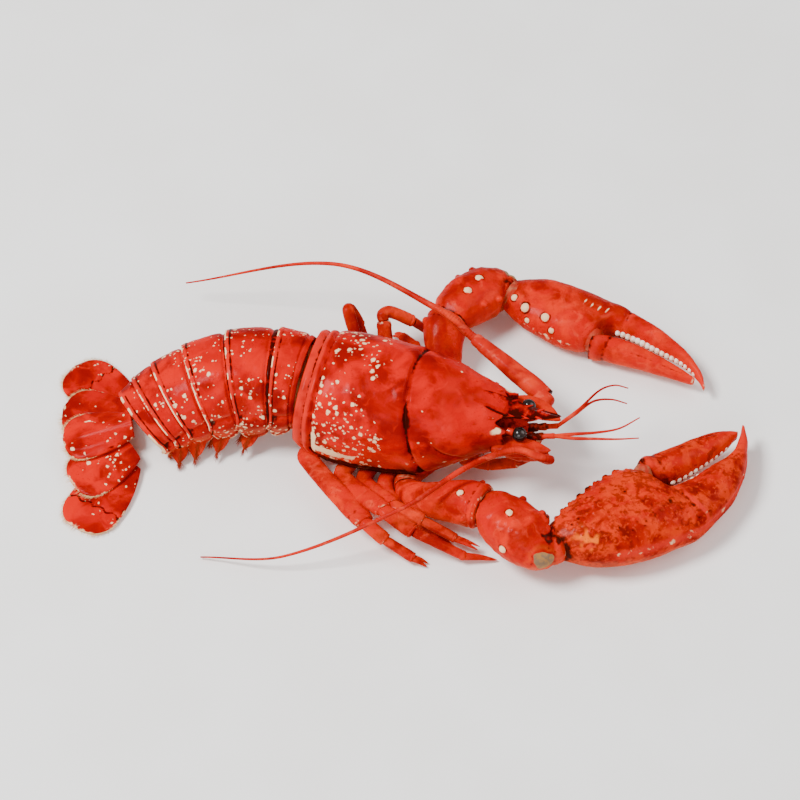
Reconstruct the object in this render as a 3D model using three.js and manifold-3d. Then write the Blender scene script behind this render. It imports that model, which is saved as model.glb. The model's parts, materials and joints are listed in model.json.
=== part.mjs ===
// A cooked lobster lying on its belly: head towards +X, its right side towards -Y, +Z up, millimetres.
// Every shell plate, limb piece and feeler is a closed solid of its own.
// Heights are above the table. Plan places are on the table, and the whole is centred at the end.
import * as THREE from "three";
import { mergeVertices } from "three/addons/utils/BufferGeometryUtils.js";
import Module from "manifold-3d";

// ---- Driving dimensions ----
const CARAPACE_LENGTH = 88; // rear edge to eye socket
const CARAPACE_HALF_WIDTH = 26.5;
const ROSTRUM_LENGTH = 25;
const TAIL_LENGTH = 77; // the six jointed tail rings together
const FAN_LENGTH = 31; // telson
const CRUSHER_LENGTH = 106;
const CRUSHER_THICKNESS = 27;
const CUTTER_LENGTH = 98;
const CUTTER_THICKNESS = 20;
const JOINT_GAP = 0.5; // between two neighbouring pieces

// ---- Placing of the body on the table ----
const BODY_AT = new THREE.Vector3(4, 16.5, 0); // under the rear edge of the carapace
const BODY_YAW = -15.5; // degrees; the head points towards +X and a little towards -Y

const DEG = Math.PI / 180;
const UP = new THREE.Vector3(0, 0, 1);
const point = (x, y, z) => new THREE.Vector3(x, y, z);

// A place on the body: x ahead of the carapace's rear edge, y to the animal's left, z above the table.
function onBody(x, y, z) {
  return point(x, y, z).applyAxisAngle(UP, BODY_YAW * DEG).add(BODY_AT);
}

// ---- Shape tools ----
// A smooth curve through [t, value] knots: cubic pieces with Catmull-Rom slopes, level beyond the ends.
function through(...knots) {
  const last = knots.length - 1;
  const rise = (a, b) => (knots[b][1] - knots[a][1]) / (knots[b][0] - knots[a][0]);
  const slope = (i) => rise(Math.max(i - 1, 0), Math.min(i + 1, last));
  return (t) => {
    if (t <= knots[0][0]) return knots[0][1];
    if (t >= knots[last][0]) return knots[last][1];
    const i = knots.findIndex((knot) => knot[0] > t) - 1;
    const [t0, v0] = knots[i];
    const [t1, v1] = knots[i + 1];
    const w = t1 - t0;
    const s = (t - t0) / w;
    return (
      v0 * (1 + 2 * s) * (1 - s) ** 2 +
      slope(i) * w * s * (1 - s) ** 2 +
      v1 * s * s * (3 - 2 * s) +
      slope(i + 1) * w * s * s * (s - 1)
    );
  };
}

const steps = (from, to, count) => Array.from(
  { length: count }, (_, i) => from + ((to - from) * i) / (count - 1),
);

// A frame at a point: along is where a loft runs, across and up span its sections.
function frameAt(origin, along, upward = UP) {
  const back = along.clone().normalize();
  const across = new THREE.Vector3().crossVectors(upward, back).normalize();
  const up = new THREE.Vector3().crossVectors(back, across);
  return { origin, across, up };
}

// A closed solid through outlines of equally many 2-D points, each laid in its own frame.
function loft(outlines, frames) {
  const sides = outlines[0].length;
  const rings = outlines.length;
  const positions = [];
  outlines.forEach((outline, i) => {
    const { origin, across, up } = frames[i];
    for (const p of outline) {
      positions.push(...origin.clone().addScaledVector(across, p.x).addScaledVector(up, p.y).toArray());
    }
  });
  const index = [];
  for (let i = 0; i < rings - 1; i++) {
    for (let j = 0; j < sides; j++) {
      const a = i * sides + j;
      const b = i * sides + ((j + 1) % sides);
      index.push(a, b, b + sides, a, b + sides, a + sides);
    }
  }
  const ringStart = (rings - 1) * sides;
  for (const [a, b, c] of THREE.ShapeUtils.triangulateShape(outlines[0], [])) index.push(a, c, b);
  for (const [a, b, c] of THREE.ShapeUtils.triangulateShape(outlines[rings - 1], [])) {
    index.push(ringStart + a, ringStart + b, ringStart + c);
  }
  return outward(positions, index);
}

// The same triangles with every face pointing out of the solid.
function outward(positions, index) {
  const corner = (i) => point(...positions.slice(3 * index[i], 3 * index[i] + 3));
  let volume = 0;
  for (let i = 0; i < index.length; i += 3) volume += corner(i).dot(corner(i + 1).cross(corner(i + 2)));
  if (volume < 0) {
    for (let i = 0; i < index.length; i += 3) [index[i + 1], index[i + 2]] = [index[i + 2], index[i + 1]];
  }
  const geometry = new THREE.BufferGeometry();
  geometry.setAttribute("position", new THREE.Float32BufferAttribute(positions, 3));
  geometry.setIndex(index);
  geometry.computeVertexNormals();
  return geometry;
}

// An oval section, counter-clockwise: half widths to each side, half heights above and below.
// A power under 1 squares its shoulders.
function oval(left, right, above, below, sides, power = 1) {
  const bend = (value) => Math.sign(value) * Math.abs(value) ** power;
  return Array.from({ length: sides }, (_, i) => {
    const angle = (2 * Math.PI * (i + 0.5)) / sides;
    const c = bend(Math.cos(angle));
    const s = bend(Math.sin(angle));
    return new THREE.Vector2(c > 0 ? c * left : c * right, s > 0 ? s * above : s * below);
  });
}

// A limb piece between two points, with its half width and half height along its length.
function limbPiece(from, to, width, height, sides, stations, power = 0.9) {
  const along = to.clone().sub(from);
  const outlines = stations.map((t) => oval(width(t), width(t), height(t), height(t), sides, power));
  const frames = stations.map((t) => frameAt(from.clone().addScaledVector(along, t), along));
  return loft(outlines, frames);
}

// A round or oval rod that follows a curve, with its radius along its length.
function rod(curve, radius, sides, stations, flat = 1) {
  const outlines = stations.map((t) => {
    const r = radius(t);
    return oval(r, r, r * flat, r * flat, sides);
  });
  return loft(outlines, stations.map((t) => frameAt(curve.getPoint(t), curve.getTangent(t))));
}

// One solid out of several that run into each other.
const solidTools = await Module();
solidTools.setup();
const { Manifold, Mesh } = solidTools;
function joined(...geometries) {
  const solids = geometries.map((geometry) => {
    const bare = new THREE.BufferGeometry().setAttribute("position", geometry.getAttribute("position"));
    const merged = mergeVertices(bare.setIndex(geometry.index), 1e-4);
    const triVerts = new Uint32Array(merged.index.array);
    return new Manifold(new Mesh({ numProp: 3, vertProperties: merged.attributes.position.array, triVerts }));
  });
  const { vertProperties, triVerts } = Manifold.union(solids).getMesh();
  return outward(Array.from(vertProperties), Array.from(triVerts));
}

const curveThrough = (...points) => new THREE.CatmullRomCurve3(points, false, "centripetal");

// How far each side of a knee its bend starts, so that the inner side of the bend stays open.
function bendReach(before, knee, after, radius) {
  const inside = before.clone().sub(knee).angleTo(after.clone().sub(knee));
  return Math.max((1.15 * radius) / Math.tan(inside / 2), 0.5 * radius);
}

const towards = (from, to, distance) => from.clone().add(to.clone().sub(from).setLength(distance));

// A jointed limb as one rod: straight stretches between knees, with a short bend at each.
function bentRod(knees, radii, sides, flat = 1) {
  const rings = [];
  knees.forEach((knee, i) => {
    const r = radii[i];
    if (i === 0) rings.push([knee, r, knees[1].clone().sub(knee)]);
    else if (i === knees.length - 1) rings.push([knee, r, knee.clone().sub(knees[i - 1])]);
    else {
      const reach = bendReach(knees[i - 1], knee, knees[i + 1], r);
      const into = towards(knee, knees[i - 1], reach);
      const out = towards(knee, knees[i + 1], reach);
      rings.push([into, r, knee.clone().sub(into)], [knee, r * 1.04, out.clone().sub(into)]);
      rings.push([out, r, out.clone().sub(knee)]);
    }
  });
  const outlines = rings.map(([, r]) => oval(r, r, r * flat, r * flat, sides));
  return loft(outlines, rings.map(([at, , along]) => frameAt(at, along)));
}

// A thick limb piece that leaves one joint along fromWay and arrives at the next along toWay.
// Its end faces stand square to those two directions, half a joint gap short of each joint.
function jointedPiece(from, fromWay, to, toWay, width, height, sides, stations, power = 0.9) {
  const way = (vector) => vector.clone().normalize();
  const start = from.clone().addScaledVector(way(fromWay), JOINT_GAP / 2);
  const end = to.clone().addScaledVector(way(toWay), -JOINT_GAP / 2);
  const handle = start.distanceTo(end) / 3;
  const out = start.clone().addScaledVector(way(fromWay), handle);
  const back = end.clone().addScaledVector(way(toWay), -handle);
  const curve = new THREE.CubicBezierCurve3(start, out, back, end);
  const outlines = stations.map((t) => oval(width(t), width(t), height(t), height(t), sides, power));
  return loft(outlines, stations.map((t) => frameAt(curve.getPoint(t), curve.getTangent(t))));
}

// ---- Looks ----
const shellRed = new THREE.MeshStandardMaterial({ color: 0xd6260f, roughness: 0.35, metalness: 0 });
const tailRed = new THREE.MeshStandardMaterial({ color: 0xd8341a, roughness: 0.38, metalness: 0 });
const clawRed = new THREE.MeshStandardMaterial({ color: 0xd13b14, roughness: 0.4, metalness: 0 });
const legRed = new THREE.MeshStandardMaterial({ color: 0xcf3a1e, roughness: 0.4, metalness: 0 });
const feelerRed = new THREE.MeshStandardMaterial({ color: 0xd24a32, roughness: 0.45, metalness: 0 });
const eyeBlack = new THREE.MeshStandardMaterial({ color: 0x17120f, roughness: 0.12, metalness: 0 });
const bellyPink = new THREE.MeshStandardMaterial({ color: 0xd9765a, roughness: 0.5, metalness: 0 });

const lobster = new THREE.Group();
function piece(name, geometry, material) {
  const mesh = new THREE.Mesh(geometry, material);
  mesh.name = name;
  lobster.add(mesh);
}

// ---- Carapace ----
const carapaceWidth = through([0, 0.91], [0.15, 0.98], [0.4, 1], [0.66, 0.92], [0.85, 0.7], [1, 0.5]);
const carapaceTop = through([0, 46], [0.15, 49.5], [0.4, 51.5], [0.6, 50.5], [0.8, 46.5], [1, 41]);
const carapaceWidest = through([0, 28], [0.3, 25], [0.7, 27], [1, 32]);
const carapaceMargin = through([0, 14], [0.12, 9.6], [0.3, 8.4], [0.5, 8.8], [0.66, 12], [0.85, 20], [1, 25]);

// The arch over the back from one lower margin to the other: v runs from -1, left, to 1, right.
// Above the widest point it is a quarter oval, and below it the side curves in under the belly.
function carapaceArch(t, v) {
  const width = CARAPACE_HALF_WIDTH * carapaceWidth(t);
  const top = carapaceTop(t);
  const widest = carapaceWidest(t);
  const margin = carapaceMargin(t);
  const side = Math.abs(v);
  const shoulder = 0.62;
  if (side < shoulder) {
    const angle = ((side / shoulder) * Math.PI) / 2;
    const y = width * Math.sin(angle) ** 0.93;
    return new THREE.Vector2(-Math.sign(v) * y, widest + (top - widest) * Math.cos(angle) ** 0.9);
  }
  const angle = (((side - shoulder) / (1 - shoulder)) * Math.PI) / 2;
  const tuck = 0.09;
  const y = width * (1 - tuck + tuck * Math.cos(angle));
  return new THREE.Vector2(-Math.sign(v) * y, widest - (widest - margin) * Math.sin(angle));
}

// The beak between the eyes: its half width, top and underside along its length.
const beakWidth = through([0, 4.6], [0.3, 3.3], [0.7, 2], [1, 0.3]);
const beakTop = through([0, 40.4], [0.4, 40.4], [1, 42]);
const beakUnder = through([0, 36.6], [0.4, 37.2], [1, 41.4]);

function carapace() {
  const around = steps(-1, 1, 25);
  const body = [0, 0.035, 0.1, 0.2, 0.32, 0.45, 0.56, 0.62, 0.7, 0.8, 0.9, 0.97, 1, 1.02].map((t) => {
    const shrink = t > 1 ? 0.8 : t === 0 ? 0.97 : 1; // a rounded front and a turned-in rear rim
    const middle = (carapaceTop(t) + carapaceMargin(t)) / 2;
    const arch = around.map((v) => carapaceArch(Math.min(t, 1), v));
    const outline = arch.map((p) => new THREE.Vector2(p.x * shrink, middle + (p.y - middle) * shrink));
    return { x: t * CARAPACE_LENGTH, outline };
  });
  const front = 1.03 * CARAPACE_LENGTH;
  const beak = [0, 0.3, 0.65, 1].map((t) => {
    const arch = around.map((v) => carapaceArch(1, v));
    const [wide, top, under] = [CARAPACE_HALF_WIDTH * carapaceWidth(1), carapaceTop(1), carapaceMargin(1)];
    const rise = (z) => beakUnder(t) + ((z - under) / (top - under)) * (beakTop(t) - beakUnder(t));
    const outline = arch.map((p) => new THREE.Vector2((p.x / wide) * beakWidth(t), rise(p.y)));
    return { x: front + t * (CARAPACE_LENGTH + ROSTRUM_LENGTH - front), outline };
  });
  const sections = [...body, ...beak];
  const ahead = onBody(1, 0, 0).sub(onBody(0, 0, 0));
  return loft(
    sections.map((each) => each.outline), sections.map((each) => frameAt(onBody(each.x, 0, 0), ahead)),
  );
}
piece("carapace", carapace(), shellRed);

// ---- Chest under the carapace: its flat keel is what the animal rests on ----
// In front it narrows and comes out under the beak as the face that the feelers and eyes stand on.
const chestHalf = through([0, 8], [22, 10], [62, 10.5], [80, 9], [88, 6.4], [91, 5.6], [98, 4.6]);
const chestFoot = through([0, 6], [18, 7], [62, 7], [88, 4], [98, 3.4]);
const KEEL = [10.5, 61.6]; // where the flat keel starts and ends
const chestLow = through([0, 6], [KEEL[0], 0], [KEEL[1], 0], [68, 7], [77, 12], [88, 17], [98, 22]);
const faceTop = through([91.3, 30.6], [98, 28.6]);
function chest() {
  const places = [3, KEEL[0], 26, 44, 53, KEEL[1], 68, 77, 87, 91.2, 91.3, 94.5, 98];
  const outlines = places.map((x) => {
    const low = x >= KEEL[0] && x <= KEEL[1] ? 0 : chestLow(x);
    const high = x > 91.2 ? faceTop(x) : carapaceMargin(x / CARAPACE_LENGTH) - 1.4;
    const waist = (low + high) / 2;
    const rightSide = [[-0.9 * chestHalf(x), high], [-chestHalf(x), waist], [-chestFoot(x), low]];
    const leftSide = rightSide.map(([y, z]) => [-y, z]).reverse();
    return [...rightSide, ...leftSide].map(([y, z]) => new THREE.Vector2(y, z));
  });
  const ahead = onBody(1, 0, 0).sub(onBody(0, 0, 0));
  return loft(outlines, places.map((x) => frameAt(onBody(x, 0, 0), ahead)));
}
piece("chest", chest(), bellyPink);

// ---- Tail ----
const SPINE_HEIGHT = 29;
const TAIL_TURN = 47; // degrees that the tail swings towards -Y along its length
const TAIL_DROOP = 30; // degrees that its end points down
const SPINE_STEPS = 230;
const FAN_TURN = -22.5; // degrees that the fan turns back from the last ring

// The line down the middle of the tail, walked in short steps from the carapace backwards.
function tailSpine() {
  const places = [onBody(-JOINT_GAP, 0, SPINE_HEIGHT)];
  const stride = TAIL_LENGTH / (SPINE_STEPS - 1);
  for (let i = 1; i < SPINE_STEPS; i++) {
    places.push(places[i - 1].clone().addScaledVector(spineFrame(i / SPINE_STEPS).back, stride));
  }
  return places;
}

// Directions at a share of the tail's length.
function spineFrame(share) {
  const turn = (BODY_YAW + TAIL_TURN * share) * DEG;
  const droop = TAIL_DROOP * share ** 1.4 * DEG;
  const level = point(Math.cos(turn), Math.sin(turn), 0);
  const back = level.clone().multiplyScalar(-Math.cos(droop)).add(point(0, 0, -Math.sin(droop)));
  const left = point(-Math.sin(turn), Math.cos(turn), 0);
  const up = new THREE.Vector3().crossVectors(back.clone().negate(), left);
  return { back, left, up };
}
const spine = tailSpine();
function onSpine(share) {
  const at = Math.min(Math.max(share, 0), 1) * (SPINE_STEPS - 1);
  const i = Math.min(Math.floor(at), SPINE_STEPS - 2);
  const origin = spine[i].clone().lerp(spine[i + 1], at - i);
  const { left, up } = spineFrame(share);
  return { origin, across: left, up };
}

const RING_ENDS = [0, 0.15, 0.39, 0.605, 0.775, 0.895, 1]; // where each ring starts, as shares of the tail
const tailHalfWidth = through([0, 20.5], [0.2, 21.3], [0.45, 20.3], [0.7, 19.2], [0.9, 18], [1, 17]);
const tailTop = through([0, 17], [0.2, 18.4], [0.45, 17.4], [0.7, 14.6], [0.9, 11.4], [1, 9.4]);
const tailBelly = through([0, 10], [0.2, 11.5], [0.45, 11], [0.7, 9], [0.9, 6.5], [1, 5]);
const flapDrop = through([0, 14], [0.2, 18.5], [0.45, 18.5], [0.7, 16.8], [0.9, 13.8], [1, 10]);
const flapShape = through([0, 0.25], [0.25, 0.7], [0.6, 1], [0.85, 0.72], [1, 0.3]);

// One ring of the tail: an arched back, a side flap hanging on each side, and a belly between them.
function ringOutline(share, within) {
  const width = tailHalfWidth(share);
  const crown = tailTop(share) * (1 - 0.05 * (2 * within - 1) ** 4);
  const belly = tailBelly(share);
  const drop = belly + (flapDrop(share) - belly) * flapShape(within);
  const arch = steps(-90, 90, 13).map((degrees) => {
    const angle = degrees * DEG;
    return [width * Math.sign(angle) * Math.abs(Math.sin(angle)) ** 0.9, crown * Math.cos(angle) ** 0.88];
  });
  const flap = [[width * 1.03, -drop * 0.5], [width * 0.97, -drop * 0.97], [width * 0.9, -drop]];
  const inside = [[width * 0.84, -belly * 0.98], [0, -belly * 1.04]];
  const mirrored = [flap[0], flap[1], flap[2], inside[0]].map(([x, y]) => [-x, y]).reverse();
  return [...arch, ...flap, ...inside, ...mirrored].map(([x, y]) => new THREE.Vector2(x, y)).reverse();
}
for (let ring = 0; ring < 6; ring++) {
  const gap = JOINT_GAP / TAIL_LENGTH / 2;
  const from = RING_ENDS[ring] + gap;
  const to = RING_ENDS[ring + 1] - gap;
  const stations = steps(0, 1, ring === 0 ? 4 : 6);
  const shareOf = (within) => from + (to - from) * within;
  const geometry = loft(
    stations.map((within) => ringOutline(shareOf(within), within)),
    stations.map((within) => onSpine(shareOf(within))),
  );
  piece(`tail_ring_${ring + 1}`, geometry, tailRed);
}

// ---- Tail fan: five thin leaves ----
// A leaf runs back from its root in a plan direction, thin at its edges, and droops towards the table.
function fanLeaf({ root, turn, droop, tilt, length, width, thick }) {
  const outlineWidth = through(
    [0, 0.5], [0.12, 0.66], [0.35, 0.88], [0.62, 1], [0.82, 0.93], [0.94, 0.66], [1, 0.3],
  );
  const heading = turn * DEG;
  const back = point(-Math.cos(heading), -Math.sin(heading), -Math.tan(droop * DEG)).normalize();
  const upward = UP.clone().applyAxisAngle(back, tilt * DEG);
  const stations = [0, 0.12, 0.3, 0.5, 0.7, 0.84, 0.94, 1];
  const outlines = stations.map((t) => {
    const half = (width / 2) * outlineWidth(t);
    const rise = thick * (1 - 0.55 * t);
    return oval(half, half, rise * 0.7, rise * 0.45, 10);
  });
  return loft(
    outlines,
    stations.map((t) => frameAt(root.clone().addScaledVector(back, t * length), back, upward)),
  );
}
const fan = onSpine(1);
const fanTurn = BODY_YAW + TAIL_TURN + FAN_TURN;
const fanBack = point(-Math.cos(fanTurn * DEG), -Math.sin(fanTurn * DEG), 0);
const fanAcross = point(-Math.sin(fanTurn * DEG), Math.cos(fanTurn * DEG), 0);
const fanRoot = (across, behind, height) =>
  fan.origin.clone().addScaledVector(fanAcross, across).addScaledVector(fanBack, behind).setZ(height);
const telson = {
  root: fanRoot(-1, 4, 11), turn: fanTurn, droop: 10, tilt: 0, length: FAN_LENGTH, width: 24,
  thick: 4.2,
};
piece("telson", fanLeaf(telson), tailRed);
for (const [side, s] of [["left", 1], ["right", -1]]) {
  // The left leaves turn towards +Y and the right ones towards -Y; each hangs a little lower than its
  // neighbour.
  const inner = {
    root: fanRoot(8.5 * s - 2, s > 0 ? 4 : 5, 6.4),
    turn: fanTurn - 23 * s,
    droop: 6,
    tilt: -4 * s,
    length: 31,
    width: 25,
    thick: 3,
  };
  const outer = {
    root: fanRoot(12.5 * s - 2.5, s > 0 ? 2 : 8, 2.9),
    turn: fanTurn - (s > 0 ? 54 : 50) * s,
    droop: 2.2,
    tilt: -2 * s,
    length: 40,
    width: 26,
    thick: 2.4,
  };
  piece(`fan_inner_${side}`, fanLeaf(inner), tailRed);
  piece(`fan_outer_${side}`, fanLeaf(outer), tailRed);
}

// ---- Swimmerets under tail rings 2 to 5 ----
for (let ring = 1; ring < 5; ring++) {
  const share = RING_ENDS[ring] * 0.45 + RING_ENDS[ring + 1] * 0.55;
  const { origin, across, up } = onSpine(share);
  const { back } = spineFrame(share);
  for (const [side, s] of [["left", 1], ["right", -1]]) {
    const reach = tailHalfWidth(share) * 0.52 * s;
    const top = origin.clone().addScaledVector(across, reach).addScaledVector(
      up, -tailBelly(share) * 1.08 - 0.4,
    );
    const length = Math.min(top.z - 1.2, 12.5);
    const tip = top.clone().addScaledVector(across, 1.5 * s).addScaledVector(back, 4).setZ(top.z - length);
    const width = through([0, 1.2], [0.45, 2.3], [0.8, 1.9], [1, 0.5]);
    const geometry = limbPiece(top, tip, width, () => 0.8, 6, [0, 0.45, 0.8, 1]);
    piece(`swimmeret_${ring + 1}_${side}`, geometry, bellyPink);
  }
}

// ---- Claws ----
// In a claw's own plan, x runs from wrist to tip as a share of its length, with its outer edge on one side
// and its inner edge, where the movable finger is, on the other; both in millimetres from the
// wrist-to-tip line.
const crusher = {
  outer: through(
    [0, 9], [0.06, 15], [0.14, 21], [0.26, 26], [0.4, 29], [0.52, 29.5], [0.64, 27], [0.76, 21.5],
    [0.87, 13], [0.95, 4], [1, -5],
  ),
  inner: through(
    [0, 7], [0.06, 9], [0.14, 11.5], [0.24, 13.6], [0.34, 14.8], [0.43, 14.2], [0.475, 10], [0.51, 0.5],
    [0.54, -3.4], [0.6, -4.4], [0.75, -4.2], [0.87, -2.6], [0.95, 2], [1, 7],
  ),
  fingerOuter: through(
    [0.49, 12.5], [0.53, 14.4], [0.6, 13.6], [0.68, 12.8], [0.77, 12], [0.86, 10.2], [0.92, 7.2],
    [0.95, 4.6],
  ),
  fingerInner: through(
    [0.49, 8.6], [0.53, 2], [0.57, -1], [0.62, -1.8], [0.75, -1.2], [0.86, 0.4], [0.92, 2.2],
    [0.95, 3.4],
  ),
};
const cutter = {
  outer: through(
    [0, 8], [0.06, 12], [0.15, 15.6], [0.3, 17.6], [0.45, 17.8], [0.6, 16.8], [0.75, 14.4], [0.88, 9.8],
    [0.96, 4.4], [1, -0.5],
  ),
  inner: through(
    [0, 7], [0.06, 9.5], [0.15, 11.6], [0.27, 12.2], [0.37, 11.2], [0.43, 8], [0.465, -2], [0.5, -5.6],
    [0.6, -6.8], [0.72, -6.6], [0.86, -5.4], [0.95, -1.6], [1, 2.2],
  ),
  fingerOuter: through([0.45, 9.6], [0.5, 9.6], [0.6, 7.4], [0.7, 5.2], [0.8, 3.6], [0.88, 2.4], [0.94, 1.2]),
  fingerInner: through(
    [0.45, 5], [0.485, 1.2], [0.52, -1.4], [0.6, -3], [0.7, -3.2], [0.8, -2.8], [0.88, -2],
    [0.94, -0.8],
  ),
};
const clawThickness = through(
  [0, 0.5], [0.06, 0.74], [0.15, 0.92], [0.3, 1], [0.42, 0.96], [0.55, 0.74], [0.7, 0.6], [0.85, 0.43],
  [0.95, 0.26], [1, 0.1],
);

// innerSide is 1 where the claw's inner edge lies to the left of its pointing direction, and -1 to the right.
const clawWay = ({ heading, sink }) =>
  point(Math.cos(heading * DEG), Math.sin(heading * DEG), -Math.sin(sink * DEG)).normalize();
function clawPiece(placing, outerEdge, innerEdge, stations, thin) {
  const { wrist, innerSide, roll, length, thickness } = placing;
  const along = clawWay(placing);
  const upward = UP.clone().applyAxisAngle(along, roll * DEG);
  const outlines = stations.map((t) => {
    const inner = innerEdge(t);
    const outer = -outerEdge(t);
    const middle = (inner + outer) / 2;
    const half = Math.max((inner - outer) / 2, 0.4);
    const rise = (thickness / 2) * clawThickness(t) * thin;
    return oval(
      half, half, rise, rise, 14, 0.94,
    ).map((p) => new THREE.Vector2(p.x + middle * innerSide, p.y));
  });
  const place = (t) => wrist.clone().addScaledVector(along, t * length);
  const frames = stations.map((t) => frameAt(place(t), along, upward));
  return loft(outlines, frames);
}
const noFlip = (edge) => (t) => -edge(t); // the finger's inner edge plays the part of an outer one
const rightClaw = {
  wrist: point(110, -61, 16), heading: 35, sink: 3, innerSide: 1, roll: 4, length: CRUSHER_LENGTH,
  thickness: CRUSHER_THICKNESS,
};
const leftClaw = {
  wrist: point(93, 78, 12), heading: -29.6, sink: 2.6, innerSide: -1, roll: 2, length: CUTTER_LENGTH,
  thickness: CUTTER_THICKNESS,
};
const palmStations = [0, 0.05, 0.12, 0.22, 0.34, 0.43, 0.465, 0.5, 0.53, 0.62, 0.74, 0.84, 0.92, 0.97, 1];
const crusherFinger = [0.494, 0.53, 0.58, 0.64, 0.73, 0.82, 0.89, 0.93, 0.95];
const cutterPalm = [0, 0.05, 0.12, 0.22, 0.33, 0.4, 0.43, 0.46, 0.5, 0.6, 0.74, 0.85, 0.92, 0.97, 1];
const cutterFinger = [0.454, 0.485, 0.52, 0.6, 0.7, 0.8, 0.88, 0.94];
piece("claw_right_palm", clawPiece(rightClaw, crusher.outer, crusher.inner, palmStations, 1), clawRed);
piece(
  "claw_right_finger",
  clawPiece(rightClaw, noFlip(crusher.fingerInner), crusher.fingerOuter, crusherFinger, 0.86), clawRed,
);
piece("claw_left_palm", clawPiece(leftClaw, cutter.outer, cutter.inner, cutterPalm, 1), clawRed);
piece(
  "claw_left_finger",
  clawPiece(leftClaw, noFlip(cutter.fingerInner), cutter.fingerOuter, cutterFinger, 0.86), clawRed,
);

// ---- Claw arms: hip to elbow, then the thick wrist piece ----
const hipWidth = through([0, 0.42], [1, 0.5]);
const armWidth = through([0, 0.5], [0.3, 0.68], [0.7, 0.94], [0.92, 1.02], [1, 0.9]);
const wristWidth = through([0, 0.66], [0.15, 0.9], [0.45, 1.06], [0.75, 1], [1, 0.68]);
function clawArm(side, [hip, knee, elbow, wrist], claw, size) {
  const ways = [
    knee.clone().sub(hip), elbow.clone().sub(knee), wrist.clone().sub(elbow),
  ].map((way) => way.normalize());
  const atKnee = ways[0].clone().add(ways[1]);
  const atElbow = ways[1].clone().add(ways[2]);
  const scaled = (width, factor) => (t) => width(t) * size * factor;
  const hipPiece = [hip, ways[0], knee, atKnee, scaled(hipWidth, 1), scaled(hipWidth, 0.78), 10, [0, 0.5, 1]];
  const armPiece = [knee, atKnee, elbow, atElbow, scaled(armWidth, 1), scaled(armWidth, 0.84), 12];
  const wristPiece = [
    elbow, atElbow, wrist, clawWay(claw), scaled(wristWidth, 1.18), scaled(wristWidth, 1), 14,
  ];
  piece(`claw_${side}_hip`, jointedPiece(...hipPiece), legRed);
  piece(`claw_${side}_arm`, jointedPiece(...armPiece, [0, 0.15, 0.4, 0.7, 0.9, 1]), clawRed);
  piece(`claw_${side}_wrist`, jointedPiece(...wristPiece, [0, 0.12, 0.3, 0.5, 0.7, 0.88, 1]), clawRed);
}
const rightArm = [onBody(58, -12.2, 6), onBody(52, -27, 6.4), point(80, -44, 18), rightClaw.wrist];
const leftArm = [onBody(59, 12.2, 6), onBody(56, 28, 6.4), point(66, 60, 17), leftClaw.wrist];
clawArm("right", rightArm, rightClaw, 10.2);
clawArm("left", leftArm, leftClaw, 9.6);

// ---- Walking legs ----
// Each leg's places: hip, the bend outside the carapace, knee, ankle, wrist and tip.
// The upper piece runs from hip to knee, and the lower one takes the knee's bend and all beyond it.
const hipAt = (x, s) => onBody(x, 12.2 * s, 4.6);
const outside = (x, s) => onBody(x, 28 * s, 4.6);
const legRoutes = {
  right_2: [
    hipAt(46.5, -1), outside(41.4, -1), point(43.4, -36.4, 4.6), point(54, -44.5, 5),
    point(61, -49.5, 3.6), point(66, -52, 1.2),
  ],
  right_3: [
    hipAt(37.5, -1), outside(32, -1), point(41.4, -40, 13.6), point(54, -47, 12.5), point(68, -53, 8),
    point(78, -56, 5),
  ],
  right_4: [
    hipAt(29, -1), outside(22, -1), point(38, -45, 16.5), point(50, -53, 12.5), point(72, -59.5, 4),
    point(86, -59.5, 1.2),
  ],
  right_5: [
    hipAt(20, -1), onBody(4, -22.5, 7.2), point(30, -48, 11.5), point(38, -54, 8), point(50, -60, 3.4),
    point(56, -62, 1.2),
  ],
  left_2: [
    hipAt(48, 1), outside(46, 1), point(53, 45, 6.5), point(50, 55, 6), point(45, 61, 4),
    point(41, 64, 1.3),
  ],
  left_3: [
    hipAt(39, 1), outside(38, 1), point(45, 47, 7), point(41, 54, 6), point(33, 58, 4),
    point(28, 60, 1.4),
  ],
  left_4: [
    hipAt(30, 1), outside(29, 1), point(36.5, 60, 24.5), point(50, 59, 17), point(55, 61.5, 9),
    point(59, 64.5, 1.3),
  ],
  left_5: [
    hipAt(21, 1), outside(19, 1), point(20.5, 63, 25), point(26.5, 58.5, 14), point(29.5, 54, 5),
    point(30, 51.5, 1.3),
  ],
};
for (const [name, [hip, outer, knee, ankle, wrist, tip]] of Object.entries(legRoutes)) {
  const size = name.endsWith("2") || name.endsWith("3") ? 0.95 : 1;
  const reach = bendReach(outer, knee, ankle, 3 * size);
  const split = towards(knee, outer, reach + JOINT_GAP);
  const radii = (...values) => values.map((r) => r * size);
  const girth = name === "right_5" ? 1.3 : 1; // the hindmost right leg lies with its broad side up
  const upper = bentRod([hip, outer, split], radii(2.6, 3.3 * girth, 3.2), 8, 0.8 / girth);
  piece(`leg_${name}_upper`, upper, legRed);
  const lowerStart = towards(knee, outer, reach);
  const lower = bentRod([lowerStart, knee, ankle, wrist, tip], radii(2.5, 3, 2.6, 2.1, 0.5), 8, 0.85);
  piece(`leg_${name}_lower`, lower, legRed);
}

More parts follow.
